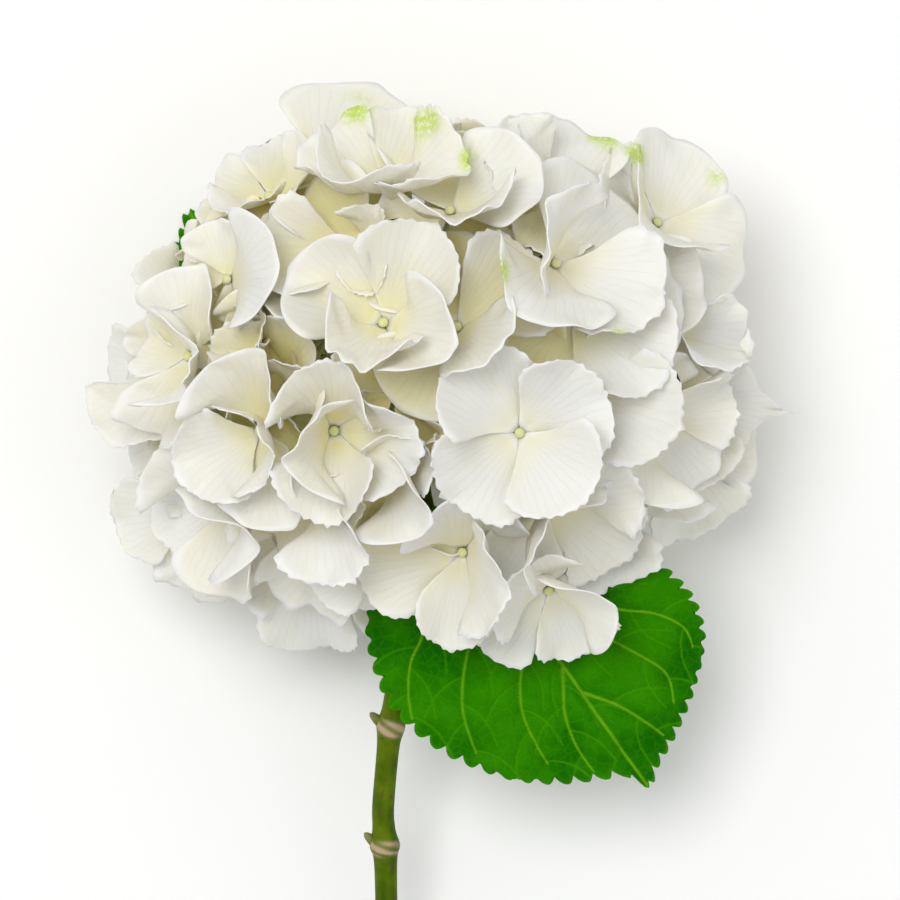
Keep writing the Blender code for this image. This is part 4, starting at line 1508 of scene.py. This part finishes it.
BACK_LEAF = {
    "outline": (
        (0.00, 1.0), (0.00, 6.0), (0.10, 16.0), (0.25, 29.0), (0.42, 36.0), (0.60, 36.0),
        (0.75, 31.0), (0.88, 19.0), (0.96, 6.5), (1.01, 0.2), (0.96, -5.0), (0.88, -17.5),
        (0.75, -29.0), (0.60, -34.5), (0.42, -34.0), (0.25, -28.0), (0.10, -17.0),
        (0.00, -6.0), (0.00, 1.0)),
    "base": (-19.0, -30.0),
    "tip": (-70.5, 45.0),
    "petiole": ((-6.2, -41.5, 56.3), (-10.5, -41.0, 44.0), (-14.5, -39.0, 24.0),
                (-17.5, -34.0, 10.0), (-22.0, -26.0, 4.6)),
    "veins": (
        ((0.0, 0.0), (0.5, 0.8), (1.0, 0.0)),
        ((0.04, 0.0), (0.16, -12.0), (0.32, -24.0), (0.46, -31.0)),
        ((0.20, 0.3), (0.34, -12.0), (0.52, -22.0), (0.66, -28.0)),
        ((0.42, 0.7), (0.56, -10.0), (0.70, -16.0), (0.82, -20.0)),
        ((0.62, 0.6), (0.74, -7.0), (0.88, -12.0)),
        ((0.04, 0.0), (0.15, 12.0), (0.30, 24.0), (0.44, 31.0)),
        ((0.20, 0.3), (0.33, 12.0), (0.50, 22.0), (0.64, 28.0)),
        ((0.42, 0.7), (0.55, 10.0), (0.69, 16.0), (0.81, 19.0)),
        ((0.62, 0.6), (0.73, 7.0), (0.87, 11.0)),
    ),
    "height": back_height,
}


# ---- studio
@dataclass
class Studio:
    """The surface, the soft lights and the camera straight above."""

    plan: HeadPlan
    floor_size: float = 6.0
    camera_distance: float = 1.2
    view_width: float = 0.243
    reference_height: float = 0.09
    view_middle: tuple[float, float] = (0.0054, -0.0243)

    def floor(self) -> None:
        """Lays the pale surface."""
        bm = bmesh.new()
        bmesh.ops.create_grid(bm, x_segments=4, y_segments=4, size=self.floor_size / 2)
        mesh = bpy.data.meshes.new("floor")
        bm.to_mesh(mesh)
        bm.free()
        mesh.materials.append(FloorFinish().material())
        add_object("floor", mesh)

    def camera(self) -> None:
        """Hangs the camera over the flower, looking straight down."""
        data = bpy.data.cameras.new("camera")
        data.sensor_width = 36.0
        data.lens = data.sensor_width * self.camera_distance / self.view_width
        data.clip_end = 20.0
        camera = add_object("camera", data)
        camera.location = (self.view_middle[0] + self.plan.shift.x,
                           self.view_middle[1] + self.plan.shift.y,
                           self.reference_height + self.camera_distance)
        bpy.context.scene.camera = camera

    @staticmethod
    def light(name: str, place: tuple[float, float, float], size: float, power: float,
              colour: Colour) -> None:
        """Hangs one soft box that points at the flower head."""
        data = bpy.data.lights.new(name, "AREA")
        data.shape = "DISK"
        data.size = size
        data.energy = power
        data.color = colour
        lamp = add_object(name, data)
        lamp.location = place
        aim = Vector((0.0, 0.05, 0.05)) - Vector(place)
        lamp.rotation_euler = aim.to_track_quat("-Z", "Y").to_euler()

    def lights(self) -> None:
        """Hangs the lights and sets the even light of the room."""
        self.light("key_light", (-0.45, 0.50, 2.1), 1.0, 21.5, (1.0, 0.995, 0.98))
        self.light("fill_light", (0.9, -0.4, 2.0), 1.8, 4.0, (0.97, 0.985, 1.0))
        world = bpy.data.worlds.new("soft_room")
        bpy.context.scene.world = world
        world.use_nodes = True
        sky = world.node_tree.nodes["Background"]
        sky.inputs["Color"].default_value = (1.0, 1.0, 1.0, 1.0)
        sky.inputs["Strength"].default_value = 0.60

    def build(self) -> None:
        """Sets up the whole studio."""
        bpy.context.scene.view_settings.view_transform = "Standard"
        self.floor()
        self.lights()
        self.camera()


# ---- the whole flower
def main() -> None:
    """Builds every piece of the flower, in order."""
    logging.basicConfig(level=logging.INFO, format="%(name)s: %(message)s")
    plan = HeadPlan.from_frame()
    LOG.info("packed model moved by %s mm", [round(c / MM, 2) for c in plan.shift])

    sepal = SepalFinish().material()
    leaf = LeafFinish().material()
    underside = LeafFinish("leaf_underside_green", deep=(0.030, 0.170, 0.006),
                           fresh=(0.070, 0.270, 0.012), vein=(0.24, 0.46, 0.07),
                           twig=(0.14, 0.36, 0.03), roughness=0.5, net=0.4).material()
    rind = RindFinish().material()
    ray = RindFinish("ray_green", green=(0.42, 0.52, 0.17), yellow=(0.66, 0.70, 0.36),
                     cork=(0.3, 0.3, 0.1), scar=(0.6, 0.6, 0.3), roughness=0.5,
                     ribs=0.5).material()
    eye = RindFinish("eye_green", green=(0.62, 0.66, 0.30), yellow=(0.78, 0.76, 0.44),
                     cork=(0.3, 0.3, 0.1), scar=(0.6, 0.6, 0.3), roughness=0.42,
                     ribs=0.5).material()

    Studio(plan).build()
    Stem(plan).build(rind)
    Rays(plan).build(ray)
    Leaf("leaf_front", plan, **FRONT_LEAF).build(leaf, underside)
    Leaf("leaf_back", plan, **BACK_LEAF, segments=90).build(leaf, underside)
    for number, seat in enumerate(plan.seats(), start=1):
        node = f"floret_{number:02d}"
        solid = SolidFloret.read(node, plan.matrix(seat))
        LOG.info("%s: %d sepals", node, len(solid.lines))
        Floret(node + "_sepals", plan, solid, number, (node,)).build(sepal, eye)
    FillerFlorets(plan).build(sepal, eye)

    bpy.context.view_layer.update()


if __name__ == "__main__":
    main()
